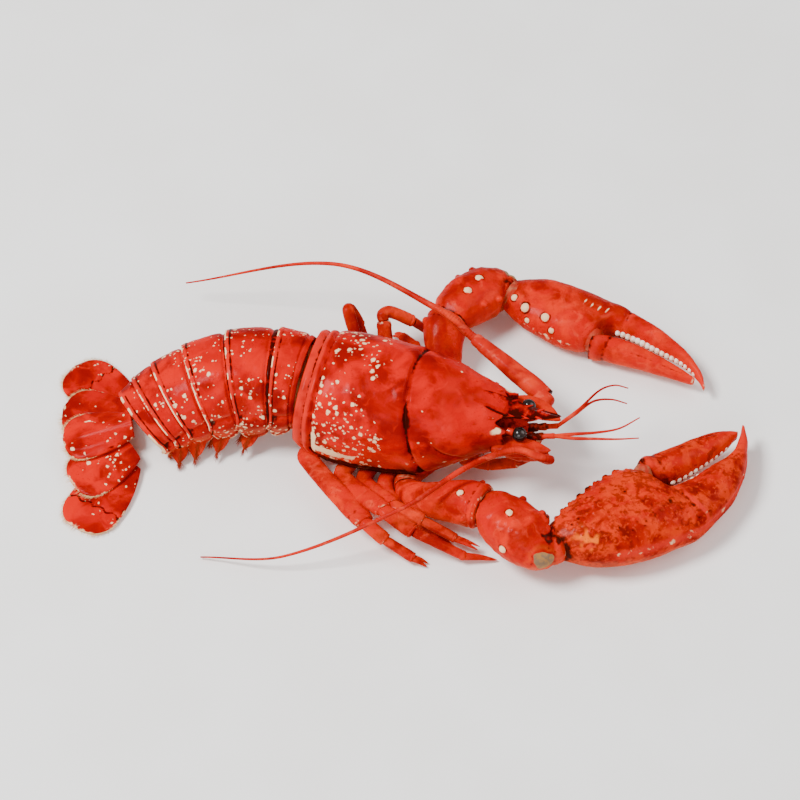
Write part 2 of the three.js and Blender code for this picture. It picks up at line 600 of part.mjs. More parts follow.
// ---- Head: eyes, feelers and mouth limbs ----
for (const [side, s] of [["left", 1], ["right", -1]]) {
  // An eye is a ball on a short stalk that leans outwards.
  const eyeRadius = through(
    [0, 1.5], [0.3, 1.7], [0.42, 2.7], [0.62, 3.3], [0.8, 2.9], [0.93, 1.9], [1, 0.9],
  );
  const eye = [onBody(91.4, 6.6 * s, 33), onBody(100, 8.6 * s, 34.6), eyeRadius, eyeRadius];
  piece(`eye_${side}`, limbPiece(...eye, 12, [0, 0.3, 0.42, 0.52, 0.62, 0.72, 0.82, 0.93, 1], 1), eyeBlack);

  // A small feeler has a thick three-jointed root and splits into two lashes.
  const rootEnd = onBody(111, 2.8 * s, 31.5);
  const root = curveThrough(onBody(99.4, 2.5 * s, 26.2), onBody(104, 2.7 * s, 28.6), rootEnd);
  const lash = (...points) => rod(
    curveThrough(rootEnd, ...points), through([0, 0.9], [1, 0.28]), 6, steps(0, 1, 8),
  );
  const lashRoutes = {
    left: [
      [onBody(118, 12, 34), onBody(124.4, 23, 36), onBody(130, 27, 36.5), onBody(136, 27.4, 36)],
      [onBody(117, 10, 33), onBody(123, 18, 34), onBody(130, 21, 34), onBody(137, 21.4, 33)],
    ],
    right: [
      [onBody(119, -0.4, 32.6), onBody(128, 2.6, 33), onBody(137, 7, 33.5), onBody(144.2, 14.7, 34)],
      [onBody(119, -2, 31.6), onBody(128, 0.4, 31.4), onBody(137, 3, 31), onBody(146, 6.4, 30.6)],
    ],
  };
  const smallFeeler = joined(
    rod(root, through([0, 1.9], [0.8, 1.5], [1, 1.1]), 8, steps(0, 1, 5)),
    ...lashRoutes[side].map((route) => lash(...route)),
  );
  piece(`small_feeler_${side}`, smallFeeler, feelerRed);

  // The flat pointed plate beside the root of the long feeler.
  const scaleWidth = through([0, 2.2], [0.3, 3.4], [0.7, 2.6], [1, 0.4]);
  const scaleTip = onBody(109, 8.5 * s, 29);
  const scale = limbPiece(onBody(91.4, 11 * s, 29), scaleTip, scaleWidth, () => 0.7, 8, [0, 0.3, 0.7, 1]);
  piece(`feeler_scale_${side}`, scale, legRed);

  const mouthLimb = curveThrough(
      onBody(71, 5 * s, 4),
      onBody(84, 6 * s, 5.5),
      onBody(96, 5.5 * s, 11),
      onBody(103, 4.2 * s, 17),
    );
  piece(
    `mouth_limb_${side}`, rod(mouthLimb, through([0, 2.6], [0.6, 2.4], [1, 0.8]), 8, steps(0, 1, 6)),
    legRed,
  );
}

// The long feelers: a jointed base out of the head's side, folded back, then a tapering whip.
const feelers = {
  left: {
    base: [onBody(91.4, 9.3, 24.4), onBody(99, 13, 25), point(107, 10, 26), point(77, 36, 33)],
    radii: [3.1, 3.4, 4.4, 3],
    whip: [point(77, 36, 33), point(61, 47, 40), point(15, 76, 36), point(-51, 85, 12)],
  },
  right: {
    base: [onBody(91.4, -9.3, 24.4), onBody(99, -9.5, 24.2), onBody(106, -8.4, 24.4), onBody(110, -11.6, 25.6)],
    radii: [3.1, 3.4, 3, 2],
    whip: [
      onBody(110.3, -12, 25.9),
      onBody(112, -13.8, 29),
      onBody(108, -15.8, 31.8),
      point(93, -24.4, 32.6),
      point(73, -33.2, 32.6),
      point(46, -49, 25),
      point(-5, -63, 9),
      point(-41, -58, 1.4),
    ],
  },
};
for (const [side, { base, radii, whip }] of Object.entries(feelers)) {
  piece(`feeler_${side}_base`, bentRod(base, radii, 10, 0.9), legRed);
  const start = whip[0].clone().add(whip[1].clone().sub(whip[0]).setLength(JOINT_GAP * 1.6));
  const whipCurve = curveThrough(start, ...whip.slice(1));
  piece(
    `feeler_${side}_whip`, rod(whipCurve, through([0, 2], [0.25, 1.3], [1, 0.35]), 6, steps(0, 1, 18)),
    feelerRed,
  );
}

// ---- Centre on the table: the middle of the box over the origin, the lowest point at 0 ----
const box = new THREE.Box3().setFromObject(lobster, true);
const middle = box.getCenter(new THREE.Vector3());
lobster.position.set(-middle.x, -middle.y, -box.min.z);

export default lobster;
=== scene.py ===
"""A boiled lobster on a pale table. Lengths are in millimetres until a mesh is made, which is in metres."""

import json
import math

import bpy
import numpy as np
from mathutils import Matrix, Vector


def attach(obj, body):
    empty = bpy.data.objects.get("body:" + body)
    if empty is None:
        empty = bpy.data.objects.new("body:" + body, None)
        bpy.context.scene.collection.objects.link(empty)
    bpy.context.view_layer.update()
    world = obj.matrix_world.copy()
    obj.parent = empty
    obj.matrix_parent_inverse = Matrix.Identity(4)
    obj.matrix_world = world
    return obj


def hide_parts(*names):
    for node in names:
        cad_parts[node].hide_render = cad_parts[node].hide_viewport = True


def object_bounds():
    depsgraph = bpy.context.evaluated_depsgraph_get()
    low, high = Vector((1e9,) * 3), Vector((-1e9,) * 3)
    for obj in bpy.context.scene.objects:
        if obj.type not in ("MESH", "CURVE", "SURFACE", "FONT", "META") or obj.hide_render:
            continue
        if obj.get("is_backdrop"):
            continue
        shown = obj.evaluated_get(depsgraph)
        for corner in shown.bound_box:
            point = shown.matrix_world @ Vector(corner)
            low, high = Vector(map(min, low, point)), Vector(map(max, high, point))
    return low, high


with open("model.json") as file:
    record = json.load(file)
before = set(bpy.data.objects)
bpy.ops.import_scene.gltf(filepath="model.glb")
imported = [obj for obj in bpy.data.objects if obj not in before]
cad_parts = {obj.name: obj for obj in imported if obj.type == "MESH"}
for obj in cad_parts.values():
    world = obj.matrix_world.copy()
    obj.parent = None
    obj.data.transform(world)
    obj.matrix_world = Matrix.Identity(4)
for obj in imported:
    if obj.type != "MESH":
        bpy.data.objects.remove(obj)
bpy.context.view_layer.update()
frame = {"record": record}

# ---- Where the lobster lies ----
BODY_YAW = math.radians(-15.5)
BODY_AT = np.array([4.0, 16.5, 0.0])
KEEL_MIDDLE = 36.0  # how far ahead of the carapace's rear edge the middle of the belly's resting face is


def on_body(x, y, z):
    """Table point of a body point: x ahead of the carapace's rear edge, y to the left, z up, turned by the
    yaw."""
    c, s = math.cos(BODY_YAW), math.sin(BODY_YAW)
    x, y, z = np.broadcast_arrays(*(np.asarray(a, float) for a in (x, y, z)))
    return np.stack([x * c - y * s, x * s + y * c, z], axis=-1) + BODY_AT


def body_points(*points):
    """Table points of several body points."""
    return [on_body(*point) for point in points]


belly_mount = np.array(frame["record"]["mounts"][0]["pos_m"]) * 1000
TABLE_SHIFT = belly_mount - on_body(KEEL_MIDDLE, 0, 0)


# ---- Curves and surfaces ----
def through(*knots):
    """Smooth curve through (t, value) knots: cubic pieces whose slope at a knot is that of its neighbours'
    chord."""
    ts, vs = np.array([k[0] for k in knots], float), np.array([k[1] for k in knots], float)
    last = len(ts) - 1
    low, high = np.maximum(np.arange(last + 1) - 1, 0), np.minimum(np.arange(last + 1) + 1, last)
    slopes = ((vs[high] - vs[low]).T / (ts[high] - ts[low])).T

    def curve(t):
        """The value at t, held at the end knots' values beyond them."""
        t = np.clip(np.asarray(t, float), ts[0], ts[-1])
        i = np.clip(np.searchsorted(ts, t, side="right") - 1, 0, last - 1)
        width = ts[i + 1] - ts[i]
        s = (t - ts[i]) / width
        if vs.ndim > 1:
            width, s = width[..., None], s[..., None]
        start, end = (1 + 2 * s) * (1 - s) ** 2, s * s * (3 - 2 * s)
        lead, trail = s * (1 - s) ** 2, s * s * (s - 1)
        return vs[i] * start + slopes[i] * width * lead + vs[i + 1] * end + slopes[i + 1] * width * trail

    return curve


def smooth(low, high, value):
    """0 below low and 1 above high, with an S-shaped rise between them."""
    s = np.clip((value - low) / (high - low), 0, 1)
    return s * s * (3 - 2 * s)


def bell(value, width):
    """A bell curve, 1 in the middle and about a third at one width."""
    return np.exp(-((value / width) ** 2))


LATTICE = np.random.default_rng(7).uniform(-1, 1, (32, 32, 32))


def hills(points, size, seed=0):
    """Random smooth hills from -1 to 1: values at the corners of a cubic lattice of that size, blended
    between them."""
    q = points / size + seed * 5.37
    cell = np.floor(q).astype(int)
    f = q - cell
    f = f * f * (3 - 2 * f)
    total = 0
    for dx in (0, 1):
        for dy in (0, 1):
            for dz in (0, 1):
                value = LATTICE[(cell[..., 0] + dx) % 32, (cell[..., 1] + dy) % 32, (cell[..., 2] + dz) % 32]
                share = [f[..., k] if d else 1 - f[..., k] for k, d in enumerate((dx, dy, dz))]
                total = total + value * share[0] * share[1] * share[2]
    return total


def unit(vectors):
    """The vectors, each divided by its length."""
    return vectors / np.maximum(np.linalg.norm(vectors, axis=-1, keepdims=True), 1e-9)


def frames_along(path, upward=(0, 0, 1)):
    """For each point of a path: the sideways and upward directions that its sections span."""
    along = unit(np.gradient(path, axis=0))
    across = unit(np.cross(np.broadcast_to(np.asarray(upward, float), along.shape), along))
    return across, np.cross(along, across)


def carried(path, side, rise, upward=(0, 0, 1)):
    """Grid of points: side and rise (rows x columns) laid off across and up from each point of the path."""
    across, up = frames_along(path, upward)
    return path[:, None] + side[..., None] * across[:, None] + rise[..., None] * up[:, None]


def chord_lengths(points):
    """Distance from the first point to each one, along the straight chords between them."""
    return np.concatenate([[0], np.cumsum(np.linalg.norm(np.diff(points, axis=0), axis=1))])


def between(at, marks, points):
    """Points at some marks, by straight blends between points whose own marks are given."""
    return np.stack([np.interp(at, marks, points[:, k]) for k in range(3)], axis=-1)


def path_through(points, count):
    """Evenly spaced points on the smooth curve through the given ones, whose knots lie at their chord
    lengths."""
    points = np.asarray(points, float)
    reach = chord_lengths(points)
    fine = through(*zip(reach, points))(np.linspace(0, reach[-1], 400))
    length = chord_lengths(fine)
    return between(np.linspace(0, length[-1], count), length, fine)


def around(count):
    """A row of angles once round a section, counter-clockwise from its sideways direction."""
    return np.linspace(0, 2 * np.pi, count, endpoint=False)[None, :]


def shares(count):
    """A column of evenly spaced shares of a length, from 0 to 1."""
    return np.linspace(0, 1, count)[:, None]


def bent(value, power):
    """A sine or cosine with squarer (power under 1) or sharper shoulders."""
    return np.sign(value) * np.abs(value) ** power


def outward_normals(grid, wrapped):
    """Unit normals of a grid of points, pointing away from the middle of each row."""
    if wrapped:
        over = np.roll(grid, -1, axis=1) - np.roll(grid, 1, axis=1)
    else:
        over = np.gradient(grid, axis=1)
    normal = unit(np.cross(np.gradient(grid, axis=0), over))
    away = grid - grid.mean(axis=1, keepdims=True)
    return normal * np.sign((normal * away).sum())


def raised(grid, amount, wrapped=True):
    """The grid moved out along its normals by an amount in mm at each point."""
    return grid + outward_normals(grid, wrapped) * amount[..., None]


# ---- Meshes ----
def island(points, quads, triangles, paint):
    """One closed body, turned so that its faces point outwards. Paint maps a name to a value at each
    point."""
    corners = np.concatenate([quads[:, [0, 1, 2]], quads[:, [0, 2, 3]], triangles.reshape(-1, 3)])
    a, b, c = (points[corners[:, k]] for k in range(3))
    if (a * np.cross(b, c)).sum() < 0:
        quads, triangles = quads[:, ::-1], triangles[:, ::-1]
    return {"points": points, "quads": quads, "triangles": triangles, "paint": paint}


def closed_tube(grid, **paint):
    """A body from rings of points, joined ring to ring and closed at both ends by a fan to the ring's
    middle."""
    rows, columns = grid.shape[:2]
    index = np.arange(rows * columns).reshape(rows, columns)
    beside = np.roll(index, -1, axis=1)
    quads = np.stack([index[:-1], beside[:-1], beside[1:], index[1:]], axis=-1).reshape(-1, 4)
    first, last = np.full(columns, rows * columns), np.full(columns, rows * columns + 1)
    fans = [np.stack([beside[0], index[0], first], axis=-1), np.stack([index[-1], beside[-1], last], axis=-1)]
    points = np.concatenate([grid.reshape(-1, 3), grid[[0, -1]].mean(axis=1)])
    full = {}
    for name, value in paint.items():
        value = np.broadcast_to(value, (rows, columns))
        full[name] = np.concatenate([value.reshape(-1), value[[0, -1]].mean(axis=1)])
    return island(points, quads, np.concatenate(fans), full)


def shell(grid, thickness, **paint):
    """A curved sheet with a thickness: the grid, the same grid moved inwards, and strips along the four
    borders."""
    rows, columns = grid.shape[:2]
    inner = grid - outward_normals(grid, False) * np.broadcast_to(thickness, (rows, columns))[..., None]
    out = np.arange(rows * columns).reshape(rows, columns)
    back = out + rows * columns
    faces = [np.stack([out[:-1, :-1], out[:-1, 1:], out[1:, 1:], out[1:, :-1]], axis=-1).reshape(-1, 4)]
    faces.append(faces[0][:, ::-1] + rows * columns)
    for a, b in ((out[0], back[0]), (back[-1], out[-1]), (back[:, 0], out[:, 0]), (out[:, -1], back[:, -1])):
        faces.append(np.stack([a[1:], a[:-1], b[:-1], b[1:]], axis=-1))
    points = np.concatenate([grid.reshape(-1, 3), inner.reshape(-1, 3)])
    full = {}
    for name, value in paint.items():
        full[name] = np.tile(np.broadcast_to(value, (rows, columns)).reshape(-1), 2)
    return island(points, np.concatenate(faces), np.zeros((0, 3), int), full)


def rod(path, wide, tall, columns, upward=(0, 0, 1), **paint):
    """A closed body along a path with oval sections: wide and tall are its half sizes along it."""
    angle = around(columns)
    return closed_tube(carried(path, wide * np.cos(angle), tall * np.sin(angle), upward), **paint)


def bristles(roots, directions, lengths, radius, **paint):
    """Many fine hairs, each a slim three-sided spike from its root along its direction."""
    roots, directions = np.asarray(roots), unit(np.asarray(directions))
    count = len(roots)
    side = unit(np.cross(directions, [0.3, 0.2, 0.93]))
    over = np.cross(directions, side)
    turn = np.array([0, 2, 4]) * np.pi / 3
    base = side[:, None] * np.cos(turn)[:, None] + over[:, None] * np.sin(turn)[:, None]
    foot = roots[:, None] + base * np.broadcast_to(radius, count)[:, None, None]
    tip = roots + directions * np.broadcast_to(lengths, count)[:, None]
    points = np.concatenate([foot, tip[:, None]], axis=1).reshape(-1, 3)
    pattern = np.array([[0, 2, 1], [0, 1, 3], [1, 2, 3], [2, 0, 3]])
    triangles = (np.arange(count)[:, None, None] * 4 + pattern).reshape(-1, 3)
    full = {name: np.full(len(points), float(value)) for name, value in paint.items()}
    return island(points, np.zeros((0, 4), int), triangles, full)


def make(name, bodies, material, slot, *nodes):
    """Makes a piece from its closed bodies: it rides on the root and stands for the named CAD nodes."""
    points = np.concatenate([b["points"] for b in bodies])
    offsets = np.cumsum([0] + [len(b["points"]) for b in bodies[:-1]])
    quads = np.concatenate([b["quads"] + o for b, o in zip(bodies, offsets)])
    triangles = np.concatenate([b["triangles"] + o for b, o in zip(bodies, offsets)])
    mesh = bpy.data.meshes.new(name)
    mesh.from_pydata(((points + TABLE_SHIFT) / 1000).tolist(), [], quads.tolist() + triangles.tolist())
    for paint in sorted({key for b in bodies for key in b["paint"]}):
        values = np.concatenate([b["paint"].get(paint, np.zeros(len(b["points"]))) for b in bodies])
        mesh.attributes.new(paint, "FLOAT", "POINT").data.foreach_set("value", values.astype(np.float32))
    mesh.polygons.foreach_set("use_smooth", np.ones(len(mesh.polygons), bool))
    mesh.materials.append(material)
    mesh.update()
    piece = bpy.data.objects.new(name, mesh)
    bpy.context.scene.collection.objects.link(piece)
    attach(piece, "root")
    if nodes:
        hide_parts(*nodes)


# ---- Finishes ----
def tone(red, green, blue):
    """A colour given as 0 to 255 on a screen, made linear by the usual screen curve."""
    shown = (red / 255, green / 255, blue / 255)
    return (*(c / 12.92 if c <= 0.04045 else ((c + 0.055) / 1.055) ** 2.4 for c in shown), 1.0)


COAT_ROUGHNESS = 0.16
SPECULAR_LEVEL = 0.015


class Finish:
    """A node material put together step by step around one shader."""

    def __init__(self, name, roughness, coat=0.0):
        """A new material with that roughness and weight of clear coat, and the place on the object."""
        self.material = bpy.data.materials.new(name)
        self.material.use_nodes = True
        self.nodes, self.links = self.material.node_tree.nodes, self.material.node_tree.links
        self.shader = self.nodes["Principled BSDF"]
        self.shader.inputs["Roughness"].default_value = roughness
        self.shader.inputs["Coat Weight"].default_value = coat
        self.shader.inputs["Coat Roughness"].default_value = COAT_ROUGHNESS
        self.shader.inputs["Specular IOR Level"].default_value = SPECULAR_LEVEL
        self.place = self.nodes.new("ShaderNodeTexCoord").outputs["Object"]

    def noise(self, size_mm, detail=3.0, twist=0.0):
        """Cloudy noise from 0 to 1 with lumps of that size, finer detail in them, and a twist."""
        node = self.nodes.new("ShaderNodeTexNoise")
        node.inputs["Scale"].default_value = 1000 / size_mm
        node.inputs["Detail"].default_value = detail
        node.inputs["Distortion"].default_value = twist
        self.links.new(self.place, node.inputs["Vector"])
        return node.outputs["Fac"]

    def torn(self, size_mm, reach_mm):
        """The place pushed about at random, which makes round cells ragged."""
        noise, centred = self.nodes.new("ShaderNodeTexNoise"), self.nodes.new("ShaderNodeVectorMath")
        noise.inputs["Scale"].default_value = 1000 / size_mm
        self.links.new(self.place, noise.inputs["Vector"])
        centred.operation = "MULTIPLY_ADD"
        centred.inputs[1].default_value = (reach_mm / 1000,) * 3
        self.links.new(noise.outputs["Color"], centred.inputs[0])
        self.links.new(self.place, centred.inputs[2])
        return centred.outputs[0]

    def cells(self, size_mm, place=None):
        """Distance to the nearest of points scattered about that far apart, and a random colour for each."""
        node = self.nodes.new("ShaderNodeTexVoronoi")
        node.inputs["Scale"].default_value = 1000 / size_mm
        self.links.new(place or self.place, node.inputs["Vector"])
        return node.outputs["Distance"], node.outputs["Color"]

    def attribute(self, name):
        """One of the mesh's paints."""
        node = self.nodes.new("ShaderNodeAttribute")
        node.attribute_name = name
        return node.outputs["Fac"]

    def ramp(self, value, low, high, bottom=0.0, top=1.0):
        """An S-shaped change from bottom to top while the value goes from low to high."""
        node = self.nodes.new("ShaderNodeMapRange")
        node.interpolation_type = "SMOOTHSTEP"
        self.links.new(value, node.inputs["Value"])
        for key, number in (("From Min", low), ("From Max", high), ("To Min", bottom), ("To Max", top)):
            node.inputs[key].default_value = number
        return node.outputs["Result"]

    def math(self, kind, a, b):
        """One step of arithmetic on two values, each a number or another node's output."""
        node = self.nodes.new("ShaderNodeMath")
        node.operation = kind
        for socket, value in zip(node.inputs, (a, b)):
            if isinstance(value, (int, float)):
                socket.default_value = value
            else:
                self.links.new(value, socket)
        return node.outputs[0]

    def mix(self, factor, a, b):
        """Colour a where the factor is 0, blending to colour b where it is 1."""
        node = self.nodes.new("ShaderNodeMix")
        node.data_type = "RGBA"
        self.links.new(factor, node.inputs["Factor"])
        for socket, value in ((node.inputs[6], a), (node.inputs[7], b)):
            if isinstance(value, tuple):
                socket.default_value = value
            else:
                self.links.new(value, socket)
        return node.outputs[2]

    def wash(self, colour, tint, noise, low, high, amount=1.0):
        """The colour with a tint over it where the noise rises from low to high, up to that amount."""
        return self.mix(self.ramp(self.noise(*noise), low, high, 0, amount), colour, tint)

    def painted(self, colour, tint, paint, low, high, amount=1.0):
        """The colour with a tint over it where the mesh's paint rises from low to high, up to that amount."""
        return self.mix(self.ramp(self.attribute(paint), low, high, 0, amount), colour, tint)

    def facing_down(self):
        """0 on faces that look up or sideways, rising to 1 on those that look down."""
        geometry, split = self.nodes.new("ShaderNodeNewGeometry"), self.nodes.new("ShaderNodeSeparateXYZ")
        self.links.new(geometry.outputs["Normal"], split.inputs[0])
        return self.ramp(split.outputs["Z"], 0.1, -0.75)

    def bump(self, height, depth_mm, strength=0.6):
        """Fine relief in the shading, as deep as that where the height goes from 0 to 1."""
        node = self.nodes.new("ShaderNodeBump")
        node.inputs["Distance"].default_value = depth_mm / 1000
        node.inputs["Strength"].default_value = strength
        self.links.new(height, node.inputs["Height"])
        self.links.new(node.outputs["Normal"], self.shader.inputs["Normal"])

    def done(self, colour, roughness=None):
        """The finished material, with its colour and, if given, a roughness that varies."""
        self.links.new(colour, self.shader.inputs["Base Color"])
        if roughness is not None:
            self.links.new(roughness, self.shader.inputs["Roughness"])
        return self.material


CREAM = tone(250, 210, 160)
BROWN = tone(38, 6, 2)
UNDER = tone(226, 104, 58)
ROSY = tone(212, 34, 20)
GOLD = tone(246, 106, 0)
SKIN = tone(160, 114, 66)
GREY_SKIN = tone(124, 98, 76)
AMBER = tone(206, 46, 2)
MAROON = tone(104, 12, 1)
CORAL = tone(214, 52, 12)


def boiled_shell(name, base, deep, glow, blush, speck_size=2.6, mottle=0.0, pits=1.0):
    """Boiled shell: washes of deep and glowing red, pink bloom, cream specks, dark pits and a wet-looking
    coat. Its paints are pale (cream edges and knobs, and painted highlights), dark (joint lines, and painted
    shadow), speck (where the specks crowd), rosy (rims and ridges, and painted pink highlights), gold (orange
    patches) and soft (skin showing between plates)."""
    f = Finish(name, 0.42, 0.045)
    colour = f.wash(base, deep, (24, 5, 0.8), 0.38, 0.6)
    colour = f.wash(colour, glow, (15, 4, 0.5), 0.48, 0.66, 0.9)
    colour = f.wash(colour, blush, (8, 6, 1.4), 0.54, 0.74, 0.62)
    if mottle:
        colour = f.wash(colour, AMBER, (9, 5, 0.6), 0.46, 0.62, mottle)
        grains = f.math("ADD", f.noise(3.0, 5, 0.6), f.ramp(f.noise(16, 3, 0.5), 0.3, 0.7, -0.1, 0.1))
        colour = f.mix(f.ramp(grains, 0.5, 0.66, 0, mottle * 0.72), colour, MAROON)
        colour = f.wash(colour, CORAL, (1.7, 4, 0.3), 0.54, 0.66, mottle * 0.6)
    colour = f.painted(colour, GOLD, "gold", 0.1, 0.9, 0.85)
    colour = f.painted(colour, ROSY, "rosy", 0.1, 0.9, 0.85)
    crowd = f.ramp(f.attribute("speck"), 0, 1, 1.0, 0.42)
    for size, strength in ((speck_size, 0.9), (speck_size * 0.58, 0.75)):
        distance, colours = f.cells(size, f.torn(1.5, 1.5))
        near = f.ramp(distance, 0.36, 0.22)
        chosen = f.math("GREATER_THAN", colours, crowd)
        colour = f.mix(f.math("MULTIPLY", f.math("MULTIPLY", near, chosen), strength), colour, CREAM)
    small = f.ramp(f.cells(1.3)[0], 0.2, 0.12, 0, 0.6 * pits)
    colour = f.mix(f.math("MULTIPLY", small, f.ramp(f.noise(12, 2), 0.4, 0.6)), colour, deep)
    colour = f.mix(f.math("MULTIPLY", f.facing_down(), 0.6), colour, UNDER)
    edge = f.ramp(f.noise(2.2, 4), 0.25, 0.75, 0.3, -0.3)
    colour = f.mix(f.ramp(f.math("ADD", f.attribute("pale"), edge), 0.35, 0.75, 0, 0.92), colour, CREAM)
    skin = f.wash(SKIN, GREY_SKIN, (4, 4, 0.8), 0.4, 0.62)
    colour = f.painted(colour, skin, "soft", 0.3, 0.7)
    colour = f.mix(f.ramp(f.math("ADD", f.attribute("dark"), edge), 0.3, 0.85, 0, 0.94), colour, BROWN)
    height = f.math("SUBTRACT", f.noise(1.1, 4), f.math("MULTIPLY", small, 0.5))
    f.bump(f.math("ADD", height, f.math("MULTIPLY", f.noise(3.5, 3), 1.2)), 0.26)
    return f.done(colour, f.ramp(f.noise(7, 4), 0.3, 0.7, 0.32, 0.52))


def shell_of(name, base, deep, glow, blush, *amounts):
    """A boiled shell whose four reds are given as they show on a screen."""
    return boiled_shell(name, tone(*base), tone(*deep), tone(*glow), tone(*blush), *amounts)


back_shell = shell_of("back_shell", (188, 0, 0), (134, 0, 0), (212, 10, 0), (210, 18, 10), 3.3)
tail_shell = shell_of("tail_shell", (182, 1, 0), (130, 0, 0), (208, 14, 0), (204, 20, 10), 3.0)
claw_shell = shell_of("claw_shell", (196, 12, 2), (146, 2, 0), (220, 36, 3), (222, 62, 36), 2.2, 0.2)
crusher_shell = shell_of("crusher_shell", (184, 16, 1), (126, 4, 0), (216, 42, 1), (210, 44, 16), 2.0, 0.9)
leg_shell = shell_of("leg_shell", (196, 20, 3), (146, 5, 1), (222, 48, 5), (222, 72, 42), 1.8, 0.3)
feeler_shell = shell_of(
    "feeler_shell", (196, 30, 14), (156, 12, 6), (214, 52, 22), (220, 84, 60), 1.4, 0.0, 0.4
)


def soft_skin():
    """Matt, wrinkled skin of the joints and belly: beige, washed with pink and grey."""
    f = Finish("soft_skin", 0.6)
    colour = f.wash(tone(176, 92, 64), tone(168, 40, 24), (6, 4, 0.8), 0.38, 0.62)
    colour = f.wash(colour, tone(96, 60, 52), (3, 4, 1.0), 0.55, 0.75, 0.7)
    colour = f.painted(colour, BROWN, "dark", 0.2, 0.9, 0.9)
    f.bump(f.noise(0.8, 5), 0.3, 0.8)
    return f.done(colour)


def belly_skin():
    """Paler plates of the belly side, red at their ribs and, by the paint named front, at the face."""
    f = Finish("belly_skin", 0.5, 0.15)
    colour = f.wash(tone(232, 150, 100), tone(214, 76, 44), (8, 4, 0.8), 0.4, 0.62)
    face = f.wash(tone(196, 26, 10), tone(120, 10, 3), (4, 5, 1.0), 0.42, 0.6)
    colour = f.mix(f.attribute("front"), colour, face)
    colour = f.painted(colour, tone(130, 24, 12), "dark", 0.2, 0.9, 0.85)
    f.bump(f.noise(1.5, 5), 0.3, 0.7)
    return f.done(colour)


def hair_finish():
    """Stiff fringes, cream at the tips and rust at the roots."""
    f = Finish("fringe_hair", 0.55)
    return f.done(f.painted(tone(176, 44, 20), tone(240, 196, 138), "pale", 0, 1))


def tooth_finish():
    """Hard, worn ivory of the biting teeth."""
    f = Finish("ivory_tooth", 0.3, 0.3)
    f.bump(f.noise(1.0, 3), 0.15)
    return f.done(f.wash(tone(252, 244, 228), tone(246, 196, 164), (2.0, 4), 0.4, 0.65))


def eye_finish():
    """Black eyeball with a faint net of facets, on a red stalk where the paint is pale."""
    f = Finish("eye_black", 0.08, 0.8)
    f.bump(f.cells(0.25)[0], 0.03, 0.3)
    colour = f.wash(tone(14, 10, 9), tone(46, 30, 26), (1.5, 3), 0.4, 0.7)
    return f.done(f.painted(colour, tone(190, 30, 12), "pale", 0.3, 0.7))


joint_skin, belly_plate, fringe_hair = soft_skin(), belly_skin(), hair_finish()
ivory_tooth, eye_black = tooth_finish(), eye_finish()

# ---- Carapace ----
CARAPACE_LENGTH = 88.0
CARAPACE_HALF_WIDTH = 26.5
carapace_width = through((0, 0.91), (0.15, 0.98), (0.4, 1), (0.66, 0.92), (0.85, 0.7), (1, 0.5))
carapace_top = through((0, 46), (0.15, 49.5), (0.4, 51.5), (0.6, 50.5), (0.8, 46.5), (1, 41))
carapace_widest = through((0, 28), (0.3, 25), (0.7, 27), (1, 32))
carapace_margin = through((0, 14), (0.12, 9.6), (0.3, 8.4), (0.5, 8.8), (0.66, 12), (0.85, 20), (1, 25))
SHOULDER = 0.62
TUCK = 0.09


def carapace_arch(x, v):
    """Body point on the arch over the back at x, from the left margin (v = -1) to the right (v = 1). A
    quarter oval falls from the crown to the widest point, and a smaller one curves in from there to the
    margin."""
    t = np.clip(x / CARAPACE_LENGTH, 0, 1)
    width, widest = CARAPACE_HALF_WIDTH * carapace_width(t), carapace_widest(t)
    side = np.abs(v)
    crown = np.clip(side / SHOULDER, 0, 1) * np.pi / 2
    skirt = np.clip((side - SHOULDER) / (1 - SHOULDER), 0, 1) * np.pi / 2
    y = np.where(side < SHOULDER, np.sin(crown) ** 0.93, 1 - TUCK + TUCK * np.cos(skirt)) * width
    above = widest + (carapace_top(t) - widest) * np.maximum(np.cos(crown), 0) ** 0.9
    below = widest - (widest - carapace_margin(t)) * np.sin(skirt)
    return x, -np.sign(v) * y, np.where(side < SHOULDER, above, below)


front_edge = through(
    (0, 88.6), (0.16, 88.4), (0.27, 86.4), (0.37, 91.6), (0.45, 90), (0.62, 91), (0.8, 88.5), (1, 82)
)


